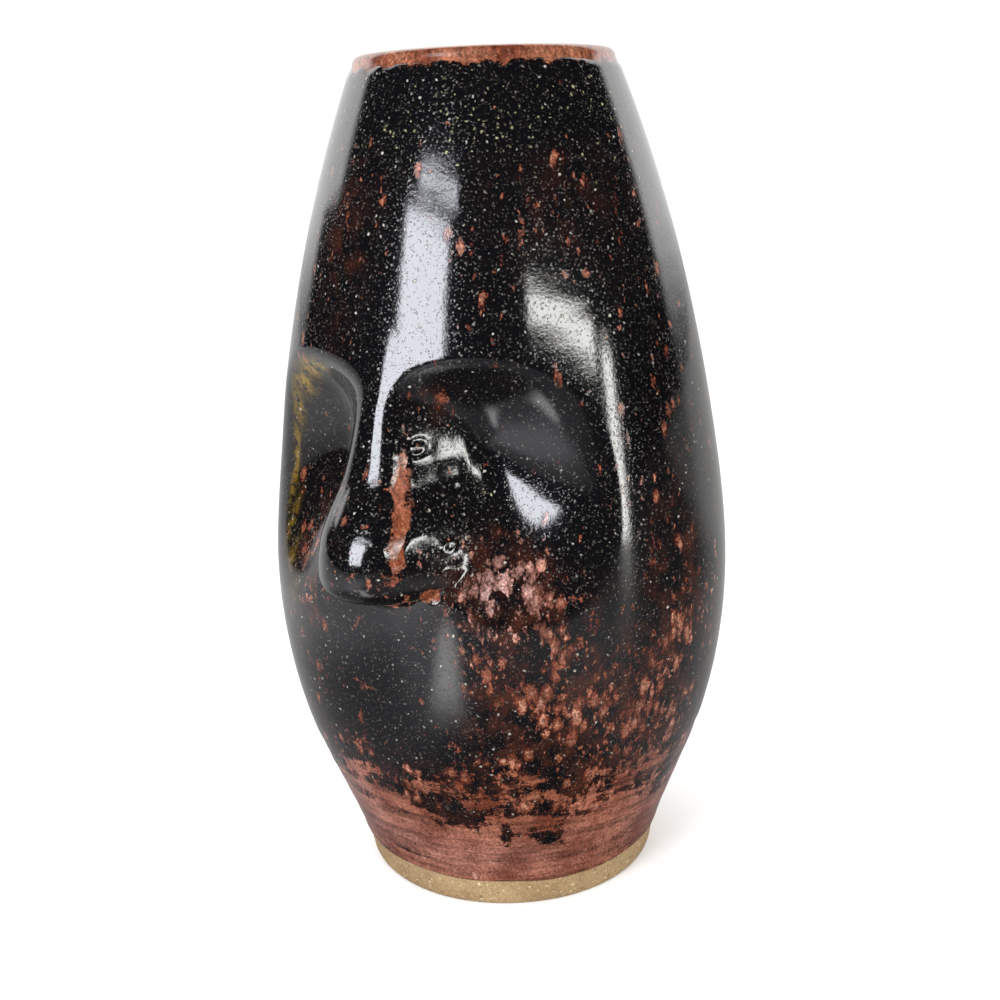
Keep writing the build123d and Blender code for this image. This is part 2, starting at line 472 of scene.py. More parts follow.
@dataclass
class GlazePaint:
    """Where the coats lie thick or thin on the pot, and where the glaze breaks to other colours."""

    low_edge: float = 0.040
    low_fade: float = 0.022
    low_wander: float = 0.006
    low_grain: float = 0.030
    low_flat: float = 0.3
    high_edge: float = 0.2497
    high_fade: float = 0.0020
    high_wander: float = 0.0012
    high_grain: float = 0.0045
    high_flat: float = 0.2
    rust_level: float = 0.125
    rust_wander: float = 0.09
    rust_grain: float = 0.040
    rust_bands: tuple[Band, ...] = (
        Band(0.14, 0.125, -0.060),
        Band(0.22, 0.070, -0.030),
        Band(-0.13, 0.222, 0.014),
    )
    lip_glow: Band = Band(0.7, 0.242, 0.004)
    coat_blooms: tuple[Bloom, ...] = (
        Bloom(7.3, 0.1430, 1.7, 0.0100, -1.45),
        Bloom(9.0, 0.1275, 1.7, 0.0090, -1.70),
        Bloom(14.4, 0.1106, 1.6, 0.0022, -2.0),
        Bloom(14.5, 0.1615, 3.0, 0.0030, -0.9),
        Bloom(-7, 0.0160, 9, 0.0013, 1.9),
        Bloom(28, 0.0290, 2, 0.0060, 1.2),
        Bloom(41, 0.0275, 5, 0.0030, 1.1),
        Bloom(12, 0.0370, 9, 0.0050, 0.8),
        Bloom(130, 0.0240, 12, 0.0030, 1.2),
        Bloom(215, 0.0300, 6, 0.0060, 1.1),
        Bloom(280, 0.0200, 10, 0.0022, 1.4),
    )
    rust_blooms: tuple[Bloom, ...] = (
        Bloom(30, 0.109, 9, 0.012, 1.70),
        Bloom(34, 0.093, 10, 0.014, 1.10),
        Bloom(34, 0.074, 12, 0.012, 0.60),
        Bloom(62, 0.068, 16, 0.020, 0.75),
        Bloom(76, 0.098, 9, 0.030, 0.60),
        Bloom(40, 0.054, 24, 0.009, 0.60),
        Bloom(14.0, 0.161, 4.0, 0.006, 0.50),
        Bloom(-20, 0.103, 5, 0.010, 0.55),
        Bloom(-30, 0.116, 8, 0.016, 0.30),
        Bloom(-17, 0.205, 9, 0.026, 0.28),
        Bloom(50, 0.212, 26, 0.020, 0.16),
        Bloom(2, 0.075, 20, 0.026, -0.26),
        Bloom(30, 0.160, 14, 0.018, -0.20),
        Bloom(120, 0.110, 24, 0.030, 0.32),
        Bloom(165, 0.070, 30, 0.022, 0.40),
        Bloom(205, 0.150, 24, 0.030, 0.22),
        Bloom(255, 0.085, 26, 0.030, 0.36),
        Bloom(290, 0.190, 20, 0.028, 0.24),
    )
    mauve_blooms: tuple[Bloom, ...] = (
        Bloom(29, 0.110, 9, 0.012, 1.1),
        Bloom(20, 0.020, 60, 0.010, 0.22),
        Bloom(-30, 0.030, 30, 0.020, 0.30),
        Bloom(85, 0.040, 20, 0.030, 0.28),
        Bloom(190, 0.060, 40, 0.030, 0.38),
    )
    mustard_blooms: tuple[Bloom, ...] = (
        Bloom(-28, 0.1692, 4, 0.0018, 1.3),
        Bloom(-34, 0.1672, 4, 0.0024, 1.4),
        Bloom(-41, 0.1622, 3, 0.0036, 1.3),
        Bloom(-46, 0.1550, 1.8, 0.0060, 0.75),
        Bloom(-47.8, 0.1430, 1.1, 0.0080, 0.70),
        Bloom(-47.8, 0.1310, 1.1, 0.0080, 0.70),
        Bloom(-44.4, 0.1190, 1.4, 0.0070, 0.60),
        Bloom(-38.5, 0.1095, 2.4, 0.0050, 0.50),
        Bloom(-32.0, 0.1025, 3.0, 0.0040, 0.30),
    )
    glow_blooms: tuple[Bloom, ...] = (
        Bloom(9.0, 0.1270, 3.0, 0.0110, 1.0),
        Bloom(14.4, 0.1106, 3.0, 0.0035, 1.2),
        Bloom(14.5, 0.1615, 4.0, 0.0040, 0.8),
        Bloom(-19, 0.1030, 4.0, 0.0060, 0.7),
        Bloom(36, 0.0500, 14, 0.0120, 0.5),
    )
    frost_blooms: tuple[Bloom, ...] = (
        Bloom(15, 0.234, 24, 0.009, 0.9),
        Bloom(55, 0.236, 22, 0.008, 0.7),
        Bloom(26, 0.140, 3.5, 0.004, 1.0),
        Bloom(150, 0.234, 40, 0.009, 0.8),
        Bloom(260, 0.234, 40, 0.009, 0.8),
    )

    @staticmethod
    def _sum(blooms: tuple[Bloom, ...], angle: Array, z: Array) -> Array:
        """All patches together."""
        return sum(bloom.at(angle, z) for bloom in blooms)

    def coat(self, angle: Array, z: Array, points: Array) -> Array:
        """Cover of the black coat, from -1 where it is missing to 1 where it is whole.

        Args:
            angle: angles from the nose in degrees.
            z: heights in metres.
            points: the same places as points in metres.

        Returns:
            The cover at each place.
        """
        wander = soft_noise(points * (1, 1, self.low_flat), self.low_grain, Seed.LOW_EDGE)
        low = np.clip((z - self.low_edge - self.low_wander * wander) / self.low_fade, -1, 1)
        teeth = soft_noise(points * (1, 1, self.high_flat), self.high_grain, Seed.HIGH_EDGE)
        high = (self.high_edge + self.high_wander * teeth - z) / self.high_fade
        return np.clip(np.minimum(low + self._sum(self.coat_blooms, angle, z), high), -1, 1)

    def rust(self, angle: Array, z: Array, points: Array) -> Array:
        """How readily the rust coat breaks through the black, before it is clipped.

        Args:
            angle: angles from the nose in degrees.
            z: heights in metres.
            points: the same places as points in metres.

        Returns:
            The level at each place.
        """
        level = self.rust_level + sum(band.at(z) for band in self.rust_bands)
        level = level + self.rust_wander * soft_noise(points, self.rust_grain, Seed.RUST)
        return level + self._sum(self.rust_blooms, angle, z)

    def lay(self, piece: Piece, angle: Array, z: Array) -> None:
        """Writes the fields that the finishes read to a piece's points.

        Args:
            piece: piece whose points are rings in the order of angle and z.
            angle: angle of each point.
            z: height of each point.
        """
        flat = np.zeros(len(piece.data.vertices) * 3)
        piece.data.vertices.foreach_get("co", flat)
        points = flat.reshape(-1, 3)[: angle.size].reshape(*angle.shape, 3)
        shares = {
            "rust": self.rust(angle, z, points),
            "mauve": self._sum(self.mauve_blooms, angle, z),
            "mustard": self._sum(self.mustard_blooms, angle, z),
            "frost": self._sum(self.frost_blooms, angle, z),
            "glow": self.lip_glow.at(z) + self._sum(self.glow_blooms, angle, z),
        }
        fields = {"coat": self.coat(angle, z, points)}
        fields |= {name: np.clip(share, 0, 1) for name, share in shares.items()}
        for name, field in fields.items():
            values = np.zeros(len(piece.data.vertices), np.float32)
            values[: angle.size] = field.ravel()
            piece.data.attributes.new(name, "FLOAT", "POINT").data.foreach_set("value", values)


@dataclass(frozen=True)
class Grain:
    """A kind of noise: features a metre, detail, roughness, and how far it is squashed in height."""

    scale: float
    detail: float
    rough: float
    squash: float = 1.0


@dataclass(frozen=True)
class Specks:
    """A kind of round speck: cells a metre, size in the cell and the share of cells that has one."""

    scale: float
    size: float
    share: float = 1.0


class Sheet:
    """A node tree in the making, with a short call for each kind of node that a finish is mixed from."""

    def __init__(self, tree: Tree) -> None:
        """Takes the tree that nodes are added to."""
        self.tree = tree

    def add(self, kind: str, inputs: Feeds | None = None, **settings: object) -> bpy.types.Node:
        """Adds a node.

        Args:
            kind: the node's type name, without its ShaderNode prefix.
            inputs: values or sockets for the node's inputs, by name or number.
            settings: the node's own properties.

        Returns:
            The new node.
        """
        node = self.tree.nodes.new(f"ShaderNode{kind}")
        for key, value in settings.items():
            setattr(node, key, value)
        for key, value in (inputs or {}).items():
            self.feed(node.inputs[key], value)
        return node

    def feed(self, target: Socket, value: Value) -> None:
        """Links a socket to an input, or sets the input's own value.

        Args:
            target: the input.
            value: the socket or the value.
        """
        if isinstance(value, bpy.types.NodeSocket):
            self.tree.links.new(value, target)
        else:
            target.default_value = value

    def position(self, squash: float = 1.0) -> Socket:
        """The place on the object in metres, squashed in height so that patterns come out flatter."""
        spot = self.add("TexCoord").outputs["Object"]
        return self.add("Mapping", {"Vector": spot, "Scale": (1, 1, squash)}).outputs["Vector"]

    def height(self, vector: Socket) -> Socket:
        """The upward part of a vector."""
        return self.add("SeparateXYZ", {0: vector}).outputs["Z"]

    def layer(self, name: str) -> Socket:
        """A field that was laid on the piece's points."""
        return self.add("Attribute", attribute_name=name).outputs["Fac"]

    def math(self, operation: str, a: Value, b: Value = 0.0) -> Socket:
        """A difference, comparison or the like of two values."""
        return self.add("Math", {0: a, 1: b}, operation=operation).outputs["Value"]

    def times(self, value: Value, *others: Value) -> Socket:
        """The product of values.

        Args:
            value: the first value.
            others: the values that it is multiplied by.

        Returns:
            The product.
        """
        for other in others:
            value = self.math("MULTIPLY", value, other)
        return value

    def plus(self, value: Value, *others: Value) -> Socket:
        """The sum of values.

        Args:
            value: the first value.
            others: the values that are added to it.

        Returns:
            The sum.
        """
        for other in others:
            value = self.math("ADD", value, other)
        return value

    def vector(self, operation: str, a: Value, b: Value) -> Socket:
        """A sum or difference of two vectors."""
        return self.add("VectorMath", {0: a, 1: b}, operation=operation).outputs["Vector"]

    def stretched(self, vector: Socket, size: float) -> Socket:
        """A vector made longer or shorter."""
        return self.add("VectorMath", {0: vector, "Scale": size}, operation="SCALE").outputs["Vector"]

    def dot(self, vector: Socket, along: tuple[float, float, float]) -> Socket:
        """How far a vector reaches along a direction."""
        return self.add("VectorMath", {0: vector, 1: along}, operation="DOT_PRODUCT").outputs["Value"]

    def noise_at(self, vector: Socket, kind: Grain) -> bpy.types.NodeOutputs:
        """A kind of noise at a place, as a value and as a colour."""
        inputs = {"Vector": vector, "Scale": kind.scale, "Detail": kind.detail, "Roughness": kind.rough}
        return self.add("TexNoise", inputs).outputs

    def grain(self, kind: Grain) -> Socket:
        """A kind of noise over the object, from 0 to 1."""
        return self.noise_at(self.position(kind.squash), kind)["Fac"]

    def cells(self, vector: Socket, scale: Value) -> tuple[Socket, bpy.types.NodeOutputs]:
        """Scattered cells: the distance from each one's middle, and its three chances from 0 to 1."""
        node = self.add("TexVoronoi", {"Vector": vector, "Scale": scale})
        return node.outputs["Distance"], self.add("SeparateColor", {"Color": node.outputs["Color"]}).outputs

    def step(self, value: Value, low: Value, high: Value, start: Value = 0.0, end: Value = 1.0) -> Socket:
        """A soft step from start to end as value goes from low to high."""
        inputs = {"Value": value, "From Min": low, "From Max": high, "To Min": start, "To Max": end}
        return self.add("MapRange", inputs, interpolation_type="SMOOTHSTEP").outputs["Result"]

    def scaled(self, value: Value, low: float, high: float, start: float, end: float) -> Socket:
        """A straight change from start to end as value goes from low to high."""
        inputs = {"Value": value, "From Min": low, "From Max": high, "To Min": start, "To Max": end}
        return self.add("MapRange", inputs).outputs["Result"]

    def blend(self, factor: Value, a: Value, b: Value) -> Socket:
        """A colour between a and b."""
        return self.add("Mix", {0: factor, 6: a, 7: b}, data_type="RGBA").outputs[2]

    def shade(self, colour: Value, level: Value) -> Socket:
        """A colour made lighter or darker by a level about 1."""
        inputs = {0: 1.0, 6: colour, 7: level}
        return self.add("Mix", inputs, data_type="RGBA", blend_type="MULTIPLY").outputs[2]

    def centred(self, value: Value, reach: Value) -> Socket:
        """A value from 0 to 1 moved to lie about 0, at a reach."""
        return self.times(self.math("SUBTRACT", value, 0.5), reach)

    def group(self, tree: Tree, **inputs: Value) -> bpy.types.NodeOutputs:
        """Places a shared group and gives its outputs.

        Args:
            tree: the shared group.
            inputs: values or sockets for its inputs.

        Returns:
            The group's outputs.
        """
        node = self.add("Group", node_tree=tree)
        for key, value in inputs.items():
            self.feed(node.inputs[key], value)
        return node.outputs

    def specks(self, speckle: Tree, kind: Specks, share: Value | None = None) -> Socket:
        """Mask of a kind of speck, with its own share of cells or another one.

        Args:
            speckle: the group of round specks.
            kind: the kind of speck.
            share: share of cells that has a speck, or None for the kind's own.

        Returns:
            A value from 0 between the specks to 1 on the brightest.
        """
        kept = kind.share if share is None else share
        spot = self.position()
        return self.group(speckle, Vector=spot, Scale=kind.scale, Size=kind.size, Share=kept)["Mask"]


class Group(Sheet):
    """A shared group of nodes in the making."""

    KINDS = {"value": "NodeSocketFloat", "colour": "NodeSocketColor", "vector": "NodeSocketVector"}

    def __init__(self, name: str, inputs: dict[str, str], outputs: dict[str, str]) -> None:
        """Opens a group.

        Args:
            name: name of the group.
            inputs: kind of each input, by its name.
            outputs: kind of each output, by its name.
        """
        super().__init__(bpy.data.node_groups.new(name, "ShaderNodeTree"))
        for way, sockets in (("INPUT", inputs), ("OUTPUT", outputs)):
            for label, kind in sockets.items():
                self.tree.interface.new_socket(name=label, in_out=way, socket_type=self.KINDS[kind])
        self.source = self.tree.nodes.new("NodeGroupInput").outputs
        self.result = self.tree.nodes.new("NodeGroupOutput").inputs

    def put(self, **values: Value) -> Tree:
        """Feeds the group's outputs and returns the finished tree.

        Args:
            values: values or sockets for the outputs.

        Returns:
            The finished group.
        """
        for label, value in values.items():
            self.feed(self.result[label], value)
        return self.tree


@dataclass(frozen=True)
class Speckle:
    """Round specks of uneven size and tone, of which a share is kept."""

    shake: Grain = Grain(1500, 2, 0.5)
    shake_reach: float = 0.0011
    sizes: Pair = (0.5, 1.3)
    full_share: float = 0.35
    tones: Pair = (0.12, 1.0)

    def make(self) -> Tree:
        """Mixes the specks into a shared group.

        Returns:
            The finished group.
        """
        inputs = {"Vector": "vector", "Scale": "value", "Size": "value", "Share": "value"}
        sheet = Group("speckle", inputs, {"Mask": "value"})
        spot = sheet.source["Vector"]
        shake = sheet.stretched(sheet.noise_at(spot, self.shake)["Color"], self.shake_reach)
        away, chance = sheet.cells(sheet.vector("ADD", spot, shake), sheet.source["Scale"])
        size = sheet.times(sheet.source["Size"], sheet.scaled(chance["Green"], 0, 1, *self.sizes))
        mask = sheet.step(away, sheet.times(size, self.full_share), size, 1.0, 0.0)
        kept = sheet.math("LESS_THAN", chance["Red"], sheet.source["Share"])
        return sheet.put(Mask=sheet.times(mask, kept, sheet.scaled(chance["Blue"], 0, 1, *self.tones)))


@dataclass(frozen=True)
class Fleck:
    """Flecks drawn out downward, where the coat beneath breaks through."""

    shake: Grain = Grain(520, 3, 0.7, 0.55)
    shake_reach: float = 0.0032
    amounts: Pair = (0.25, 1.1)
    crowding: Pair = (0.85, 1.35)
    sizes: Pair = (0.20, 0.60)
    ragged: Grain = Grain(1350, 2, 0.7)
    ragged_reach: float = 0.60
    edge: Pair = (0.55, 1.08)
    core_edge: Pair = (0.05, 0.80)
    tones: Pair = (0.40, 1.25)

    def make(self) -> Tree:
        """Mixes the flecks into a shared group.

        Returns:
            The finished group.
        """
        sheet = Group("fleck", {"Scale": "value", "Amount": "value"}, {"Mask": "value", "Core": "value"})
        amount, drawn = sheet.source["Amount"], sheet.position(self.shake.squash)
        level = sheet.vector("SUBTRACT", sheet.noise_at(drawn, self.shake)["Color"], (0.5, 0.5, 0.5))
        moved = sheet.vector("ADD", drawn, sheet.stretched(level, self.shake_reach))
        distance, chance = sheet.cells(moved, sheet.source["Scale"])
        kept = sheet.math("LESS_THAN", chance["Red"], amount)
        crowd = sheet.scaled(amount, *self.amounts, *self.crowding)
        size = sheet.times(sheet.scaled(chance["Green"], 0, 1, *self.sizes), crowd)
        away = sheet.plus(distance, sheet.centred(sheet.grain(self.ragged), self.ragged_reach))
        mask = sheet.step(away, *(sheet.times(size, share) for share in self.edge), 1.0, 0.0)
        core = sheet.step(away, *(sheet.times(size, share) for share in self.core_edge), 1.0, 0.0)
        bright = sheet.times(kept, sheet.scaled(chance["Blue"], 0, 1, *self.tones))
        return sheet.put(Mask=sheet.times(mask, kept), Core=sheet.times(core, bright))


@dataclass(frozen=True)
class RustTones:
    """Colours of the rust coat, each from dark to light as the glaze clouds over."""

    brick: tuple[Rgba, Rgba] = ((0.075, 0.013, 0.007, 1), (0.185, 0.042, 0.017, 1))
    tan: tuple[Rgba, Rgba] = ((0.285, 0.088, 0.038, 1), (0.420, 0.215, 0.150, 1))
    mauve: tuple[Rgba, Rgba] = ((0.165, 0.068, 0.052, 1), (0.350, 0.180, 0.148, 1))
    mauve_core: Rgba = (0.580, 0.360, 0.330, 1)
    ember: tuple[Rgba, Rgba] = ((0.090, 0.014, 0.006, 1), (0.190, 0.052, 0.018, 1))
    ember_chips: Rgba = (0.400, 0.190, 0.115, 1)
    cloud: Grain = Grain(75, 4, 0.65, 0.8)
    brick_clouding: Pair = (0.36, 0.64)
    tan_clouding: Pair = (0.35, 0.62)
    ember_clouding: Pair = (0.34, 0.64)
    chips: Grain = Grain(820, 2, 0.6)
    chips_edge: Pair = (0.50, 0.68)
    chips_share: float = 0.45
    streaks: Grain = Grain(44, 4, 0.68, 9)
    streaks_below: Pair = (0.060, 0.090)
    runs: Grain = Grain(520, 3, 0.6, 0.16)
    drawn_edge: Pair = (0.30, 0.66)
    drawn_shades: Pair = (0.46, 1.14)
    fine: Grain = Grain(1250, 3, 0.7)
    fine_edge: Pair = (0.30, 0.70)
    fine_shades: Pair = (0.46, 1.36)

    def make(self) -> Tree:
        """Mixes the colours into a shared group.

        Returns:
            The finished group.
        """
        inputs = {"Core": "value", "Mauve": "value", "Glow": "value"}
        sheet = Group("rust_tones", inputs, {"Colour": "colour"})
        core, cloud = sheet.source["Core"], sheet.grain(self.cloud)
        clouded = sheet.step(cloud, *self.brick_clouding)
        tan = sheet.blend(sheet.step(cloud, *self.tan_clouding), *self.tan)
        warm = sheet.blend(core, sheet.blend(clouded, *self.brick), tan)
        mauve = sheet.blend(core, sheet.blend(clouded, *self.mauve), self.mauve_core)
        ember = sheet.blend(sheet.step(cloud, *self.ember_clouding), *self.ember)
        chips = sheet.times(sheet.step(sheet.grain(self.chips), *self.chips_edge), self.chips_share)
        ember = sheet.blend(chips, ember, self.ember_chips)
        colour = sheet.blend(sheet.source["Mauve"], warm, mauve)
        colour = sheet.blend(sheet.source["Glow"], colour, ember)
        high = sheet.step(sheet.height(sheet.position()), *self.streaks_below)
        inputs = {0: high, 2: sheet.grain(self.streaks), 3: sheet.grain(self.runs)}
        drawn = sheet.add("Mix", inputs).outputs[0]
        colour = sheet.shade(colour, sheet.step(drawn, *self.drawn_edge, *self.drawn_shades))
        fine = sheet.step(sheet.grain(self.fine), *self.fine_edge, *self.fine_shades)
        return sheet.put(Colour=sheet.shade(colour, fine))


@dataclass(frozen=True)
class GlazeSkin:
    """Fine unevenness of a fired glaze: orange peel and pinholes."""

    peel: Grain = Grain(1150, 3, 0.65)
    swell: Grain = Grain(260, 2, 0.5)
    swell_share: float = 1.2
    pinhole_cells: float = 85.0
    pinhole_share: float = 0.10
    pinhole_edge: Pair = (0.025, 0.055)
    pinhole_depth: float = 2.5

    def make(self) -> Tree:
        """Mixes the unevenness into a shared group.

        Returns:
            The finished group.
        """
        sheet = Group("glaze_skin", {"Peel": "value"}, {"Height": "value", "Pinholes": "value"})
        peel = sheet.plus(sheet.grain(self.peel), sheet.times(sheet.grain(self.swell), self.swell_share))
        away, chance = sheet.cells(sheet.position(), self.pinhole_cells)
        kept = sheet.math("LESS_THAN", chance["Blue"], self.pinhole_share)
        pinholes = sheet.times(sheet.step(away, *self.pinhole_edge, 1.0, 0.0), kept)
        dips = sheet.times(pinholes, self.pinhole_depth)
        height = sheet.math("SUBTRACT", sheet.times(peel, sheet.source["Peel"]), dips)
        return sheet.put(Height=height, Pinholes=pinholes)


@dataclass(frozen=True)
class FiredLayers:
    """The two outer coats as fired together, with what floats in them."""

    stain: Rgba = (0.034, 0.0100, 0.0056, 1)
    # Pale crown of the lip: the rim's pale glaze with a painted highlight.
    pale_crown_highlight: Rgba = (0.34, 0.24, 0.17, 1)
    mustard: Rgba = (0.150, 0.092, 0.008, 1)
    green: Rgba = (0.30, 0.30, 0.16, 1)
    white: Rgba = (0.38, 0.36, 0.31, 1)
    dust: Rgba = (0.22, 0.190, 0.150, 1)
    powder: Rgba = (0.16, 0.130, 0.100, 1)
    green_specks: Specks = Specks(620.0, 0.30)
    white_specks: Specks = Specks(430.0, 0.19, 0.45)
    dust_specks: Specks = Specks(880.0, 0.30, 0.80)
    powder_specks: Specks = Specks(1500.0, 0.36, 0.70)
    green_share: float = 0.75
    dust_share: float = 0.40
    powder_share: float = 0.35
    bands: Grain = Grain(34, 3, 0.6, 5)
    bands_reach: float = 3.4
    clouds: Grain = Grain(95, 3, 0.6, 1.6)
    clouds_reach: float = 3.0
    bands_fade: Pair = (0.10, 0.20)
    teeth: Grain = Grain(420, 3, 0.6, 0.5)
    teeth_reach: float = 2.2
    fine: Grain = Grain(1500, 2, 0.7)
    fine_reach: float = 1.5
    cover_edge: Pair = (-0.20, 0.24)
    patches: Grain = Grain(62, 2, 0.5)
    patch_edge: Pair = (0.36, 0.60)
    patch_levels: Pair = (0.35, 1.35)
    large_flecks: float = 295.0
    small_flecks: float = 660.0
    small_amount: float = 0.60
    small_strength: float = 0.85
    pepper: Grain = Grain(1700, 2, 0.7)
    pepper_edge: Pair = (0.34, 0.54)
    pepper_levels: Pair = (0.30, 1.0)
    lip_zone: Pair = (0.235, 0.246)
    lip_levels: Pair = (0.25, 0.60)
    stains: Grain = Grain(150, 4, 0.65)
    stain_edge: Pair = (0.40, 0.72)
    stain_amounts: Pair = (0.08, 0.60)
    crown_zone: Pair = (0.2534, 0.2540)
    crown_edge: Pair = (-0.5, 0.3)
    crown_levels: Pair = (0.35, 1.0)
    golden: Grain = Grain(420, 3, 0.65)
    golden_edge: Pair = (0.34, 0.60)
    bare_rough: float = 0.17
    black_rough: float = 0.080

    def cover(self, sheet: Group, height: Socket, teeth: Socket) -> Socket:
        """Cover of the black coat, with ragged edges that are widest low on the pot.

        Args:
            sheet: the group in the making.
            height: height on the pot.
            teeth: fine raggedness.

        Returns:
            A value from 0 where the coat is missing to 1 where it is whole.
        """
        low = sheet.step(height, *self.bands_fade, 1.0, 0.0)
        bands = sheet.centred(sheet.grain(self.bands), sheet.times(low, self.bands_reach))
        clouds = sheet.centred(sheet.grain(self.clouds), sheet.times(low, self.clouds_reach))
        fine = sheet.centred(sheet.grain(self.fine), self.fine_reach)
        coat = sheet.plus(sheet.layer("coat"), sheet.source["Cover"])
        return sheet.step(sheet.plus(coat, bands, clouds, teeth, fine), *self.cover_edge)

    def make(self, speckle: Tree, fleck: Tree, rust: Tree) -> Tree:
        """Mixes the coats into a shared group.

        Args:
            speckle: the group of round specks.
            fleck: the group of drawn-out flecks.
            rust: the group of rust colours.

        Returns:
            A group that puts out the colour, the gloss, where the black shows and how high the grit stands.
        """
        outputs = {"Colour": "colour", "Roughness": "value", "Black": "value", "Grit": "value"}
        sheet = Group("glaze_layers", {"Cover": "value", "Black": "colour"}, outputs)
        height = sheet.height(sheet.position())
        teeth = sheet.centred(sheet.grain(self.teeth), self.teeth_reach)
        cover = self.cover(sheet, height, teeth)
        amount = sheet.layer("rust")
        patches = sheet.step(sheet.grain(self.patches), *self.patch_edge, *self.patch_levels)
        patchy = sheet.times(amount, patches)
        large = sheet.group(fleck, Scale=self.large_flecks, Amount=patchy)
        small = sheet.group(fleck, Scale=self.small_flecks, Amount=sheet.times(patchy, self.small_amount))
        broken = sheet.math("MAXIMUM", large["Mask"], sheet.times(small["Mask"], self.small_strength))
        pepper = sheet.step(sheet.grain(self.pepper), *self.pepper_edge, *self.pepper_levels)
        black = sheet.times(cover, sheet.math("SUBTRACT", 1.0, sheet.times(broken, pepper)))
        core = sheet.math("MAXIMUM", large["Core"], small["Core"])
        bare = sheet.step(height, *self.lip_zone, *self.lip_levels)
        bare = sheet.times(sheet.math("SUBTRACT", 1.0, cover), bare)
        shown = sheet.math("MAXIMUM", core, bare)
        tones = sheet.group(rust, Core=shown, Mauve=sheet.layer("mauve"), Glow=sheet.layer("glow"))
        stained = sheet.step(sheet.grain(self.stains), *self.stain_edge)
        stained = sheet.times(stained, sheet.step(amount, *self.stain_amounts))
        colour = sheet.blend(black, tones["Colour"], sheet.blend(stained, sheet.source["Black"], self.stain))
        # A thin pale line on the lip's top edge: the rim's pale glaze with a painted highlight.
        pale_crown_highlight = sheet.step(teeth, *self.crown_edge, *self.crown_levels)
        pale_crown_highlight = sheet.times(sheet.step(height, *self.crown_zone), pale_crown_highlight)
        colour = sheet.blend(pale_crown_highlight, colour, self.pale_crown_highlight)
        golden = sheet.step(sheet.grain(self.golden), *self.golden_edge)
        colour = sheet.blend(sheet.times(sheet.layer("mustard"), golden), colour, self.mustard)
        green = sheet.specks(speckle, self.green_specks, sheet.times(sheet.layer("frost"), self.green_share))
        colour = sheet.blend(sheet.times(green, black), colour, self.green)
        white = sheet.times(sheet.specks(speckle, self.white_specks), black)
        colour = sheet.blend(white, colour, self.white)
        dust = sheet.times(sheet.specks(speckle, self.dust_specks), black, self.dust_share)
        colour = sheet.blend(dust, colour, self.dust)
        powder = sheet.times(sheet.specks(speckle, self.powder_specks), black, self.powder_share)
        colour = sheet.blend(powder, colour, self.powder)
        grit = sheet.plus(sheet.math("MAXIMUM", dust, powder), white)
        rough = sheet.scaled(cover, 0, 1, self.bare_rough, self.black_rough)
        return sheet.put(Colour=colour, Roughness=rough, Black=black, Grit=grit)


@dataclass(frozen=True)
class GroggedClay:
    """Stoneware clay with dark and pale grog in it."""

    fine: Specks = Specks(1000.0, 0.40, 0.30)
    grog: Specks = Specks(560.0, 0.34, 0.26)
    coarse: Specks = Specks(300.0, 0.20, 0.22)
    pale: Specks = Specks(700.0, 0.36, 0.30)
    fine_tone: Rgba = (0.22, 0.130, 0.060, 1)
    grog_tone: Rgba = (0.12, 0.065, 0.032, 1)
    coarse_tone: Rgba = (0.060, 0.036, 0.020, 1)
    pale_tone: Rgba = (0.62, 0.50, 0.32, 1)
    grog_dip: float = 0.6
    grain: Grain = Grain(1300, 4, 0.75)
    grain_edge: Pair = (0.30, 0.70)
    grain_shades: Pair = (0.62, 1.18)
    cloud: Grain = Grain(60, 4, 0.6)
    cloud_edge: Pair = (0.35, 0.68)

    def make(self, speckle: Tree) -> Tree:
        """Mixes the clay into a shared group.

        Args:
            speckle: the group of round specks.

        Returns:
            A group that puts out the clay's colour and its grain as a height.
        """
        outputs = {"Colour": "colour", "Height": "value"}
        sheet = Group("grogged_clay", {"Light": "colour", "Dark": "colour"}, outputs)
        grain = sheet.grain(self.grain)
        cloud = sheet.step(sheet.grain(self.cloud), *self.cloud_edge)
        body = sheet.blend(cloud, sheet.source["Dark"], sheet.source["Light"])
        body = sheet.shade(body, sheet.step(grain, *self.grain_edge, *self.grain_shades))
        grog = sheet.specks(speckle, self.grog)
        body = sheet.blend(sheet.specks(speckle, self.pale), body, self.pale_tone)
        body = sheet.blend(sheet.specks(speckle, self.fine), body, self.fine_tone)
        body = sheet.blend(grog, body, self.grog_tone)
        body = sheet.blend(sheet.specks(speckle, self.coarse), body, self.coarse_tone)
        return sheet.put(Colour=body, Height=sheet.math("SUBTRACT", grain, sheet.times(grog, self.grog_dip)))


@dataclass
class Surface:
    """A material in the making: its sheet of nodes and its shader."""

    name: str

    def __post_init__(self) -> None:
        """Opens the material."""
        self.material = bpy.data.materials.new(self.name)
        self.material.use_nodes = True
        self.sheet = Sheet(self.material.node_tree)
        self.inputs = self.material.node_tree.nodes["Principled BSDF"].inputs

    def set(self, colour: Value, roughness: Value, height: Socket | None = None, depth: float = 0.0) -> None:
        """Feeds the shader.

        Args:
            colour: base colour.
            roughness: how dull it is.
            height: unevenness, or None for a flat surface.
            depth: depth in metres of an unevenness of 1.
        """
        self.sheet.feed(self.inputs["Base Color"], colour)
        self.sheet.feed(self.inputs["Roughness"], roughness)
        if height is not None:
            bump = self.sheet.add("Bump", {"Height": height, "Strength": 1.0, "Distance": depth})
            self.sheet.feed(self.inputs["Normal"], bump.outputs["Normal"])


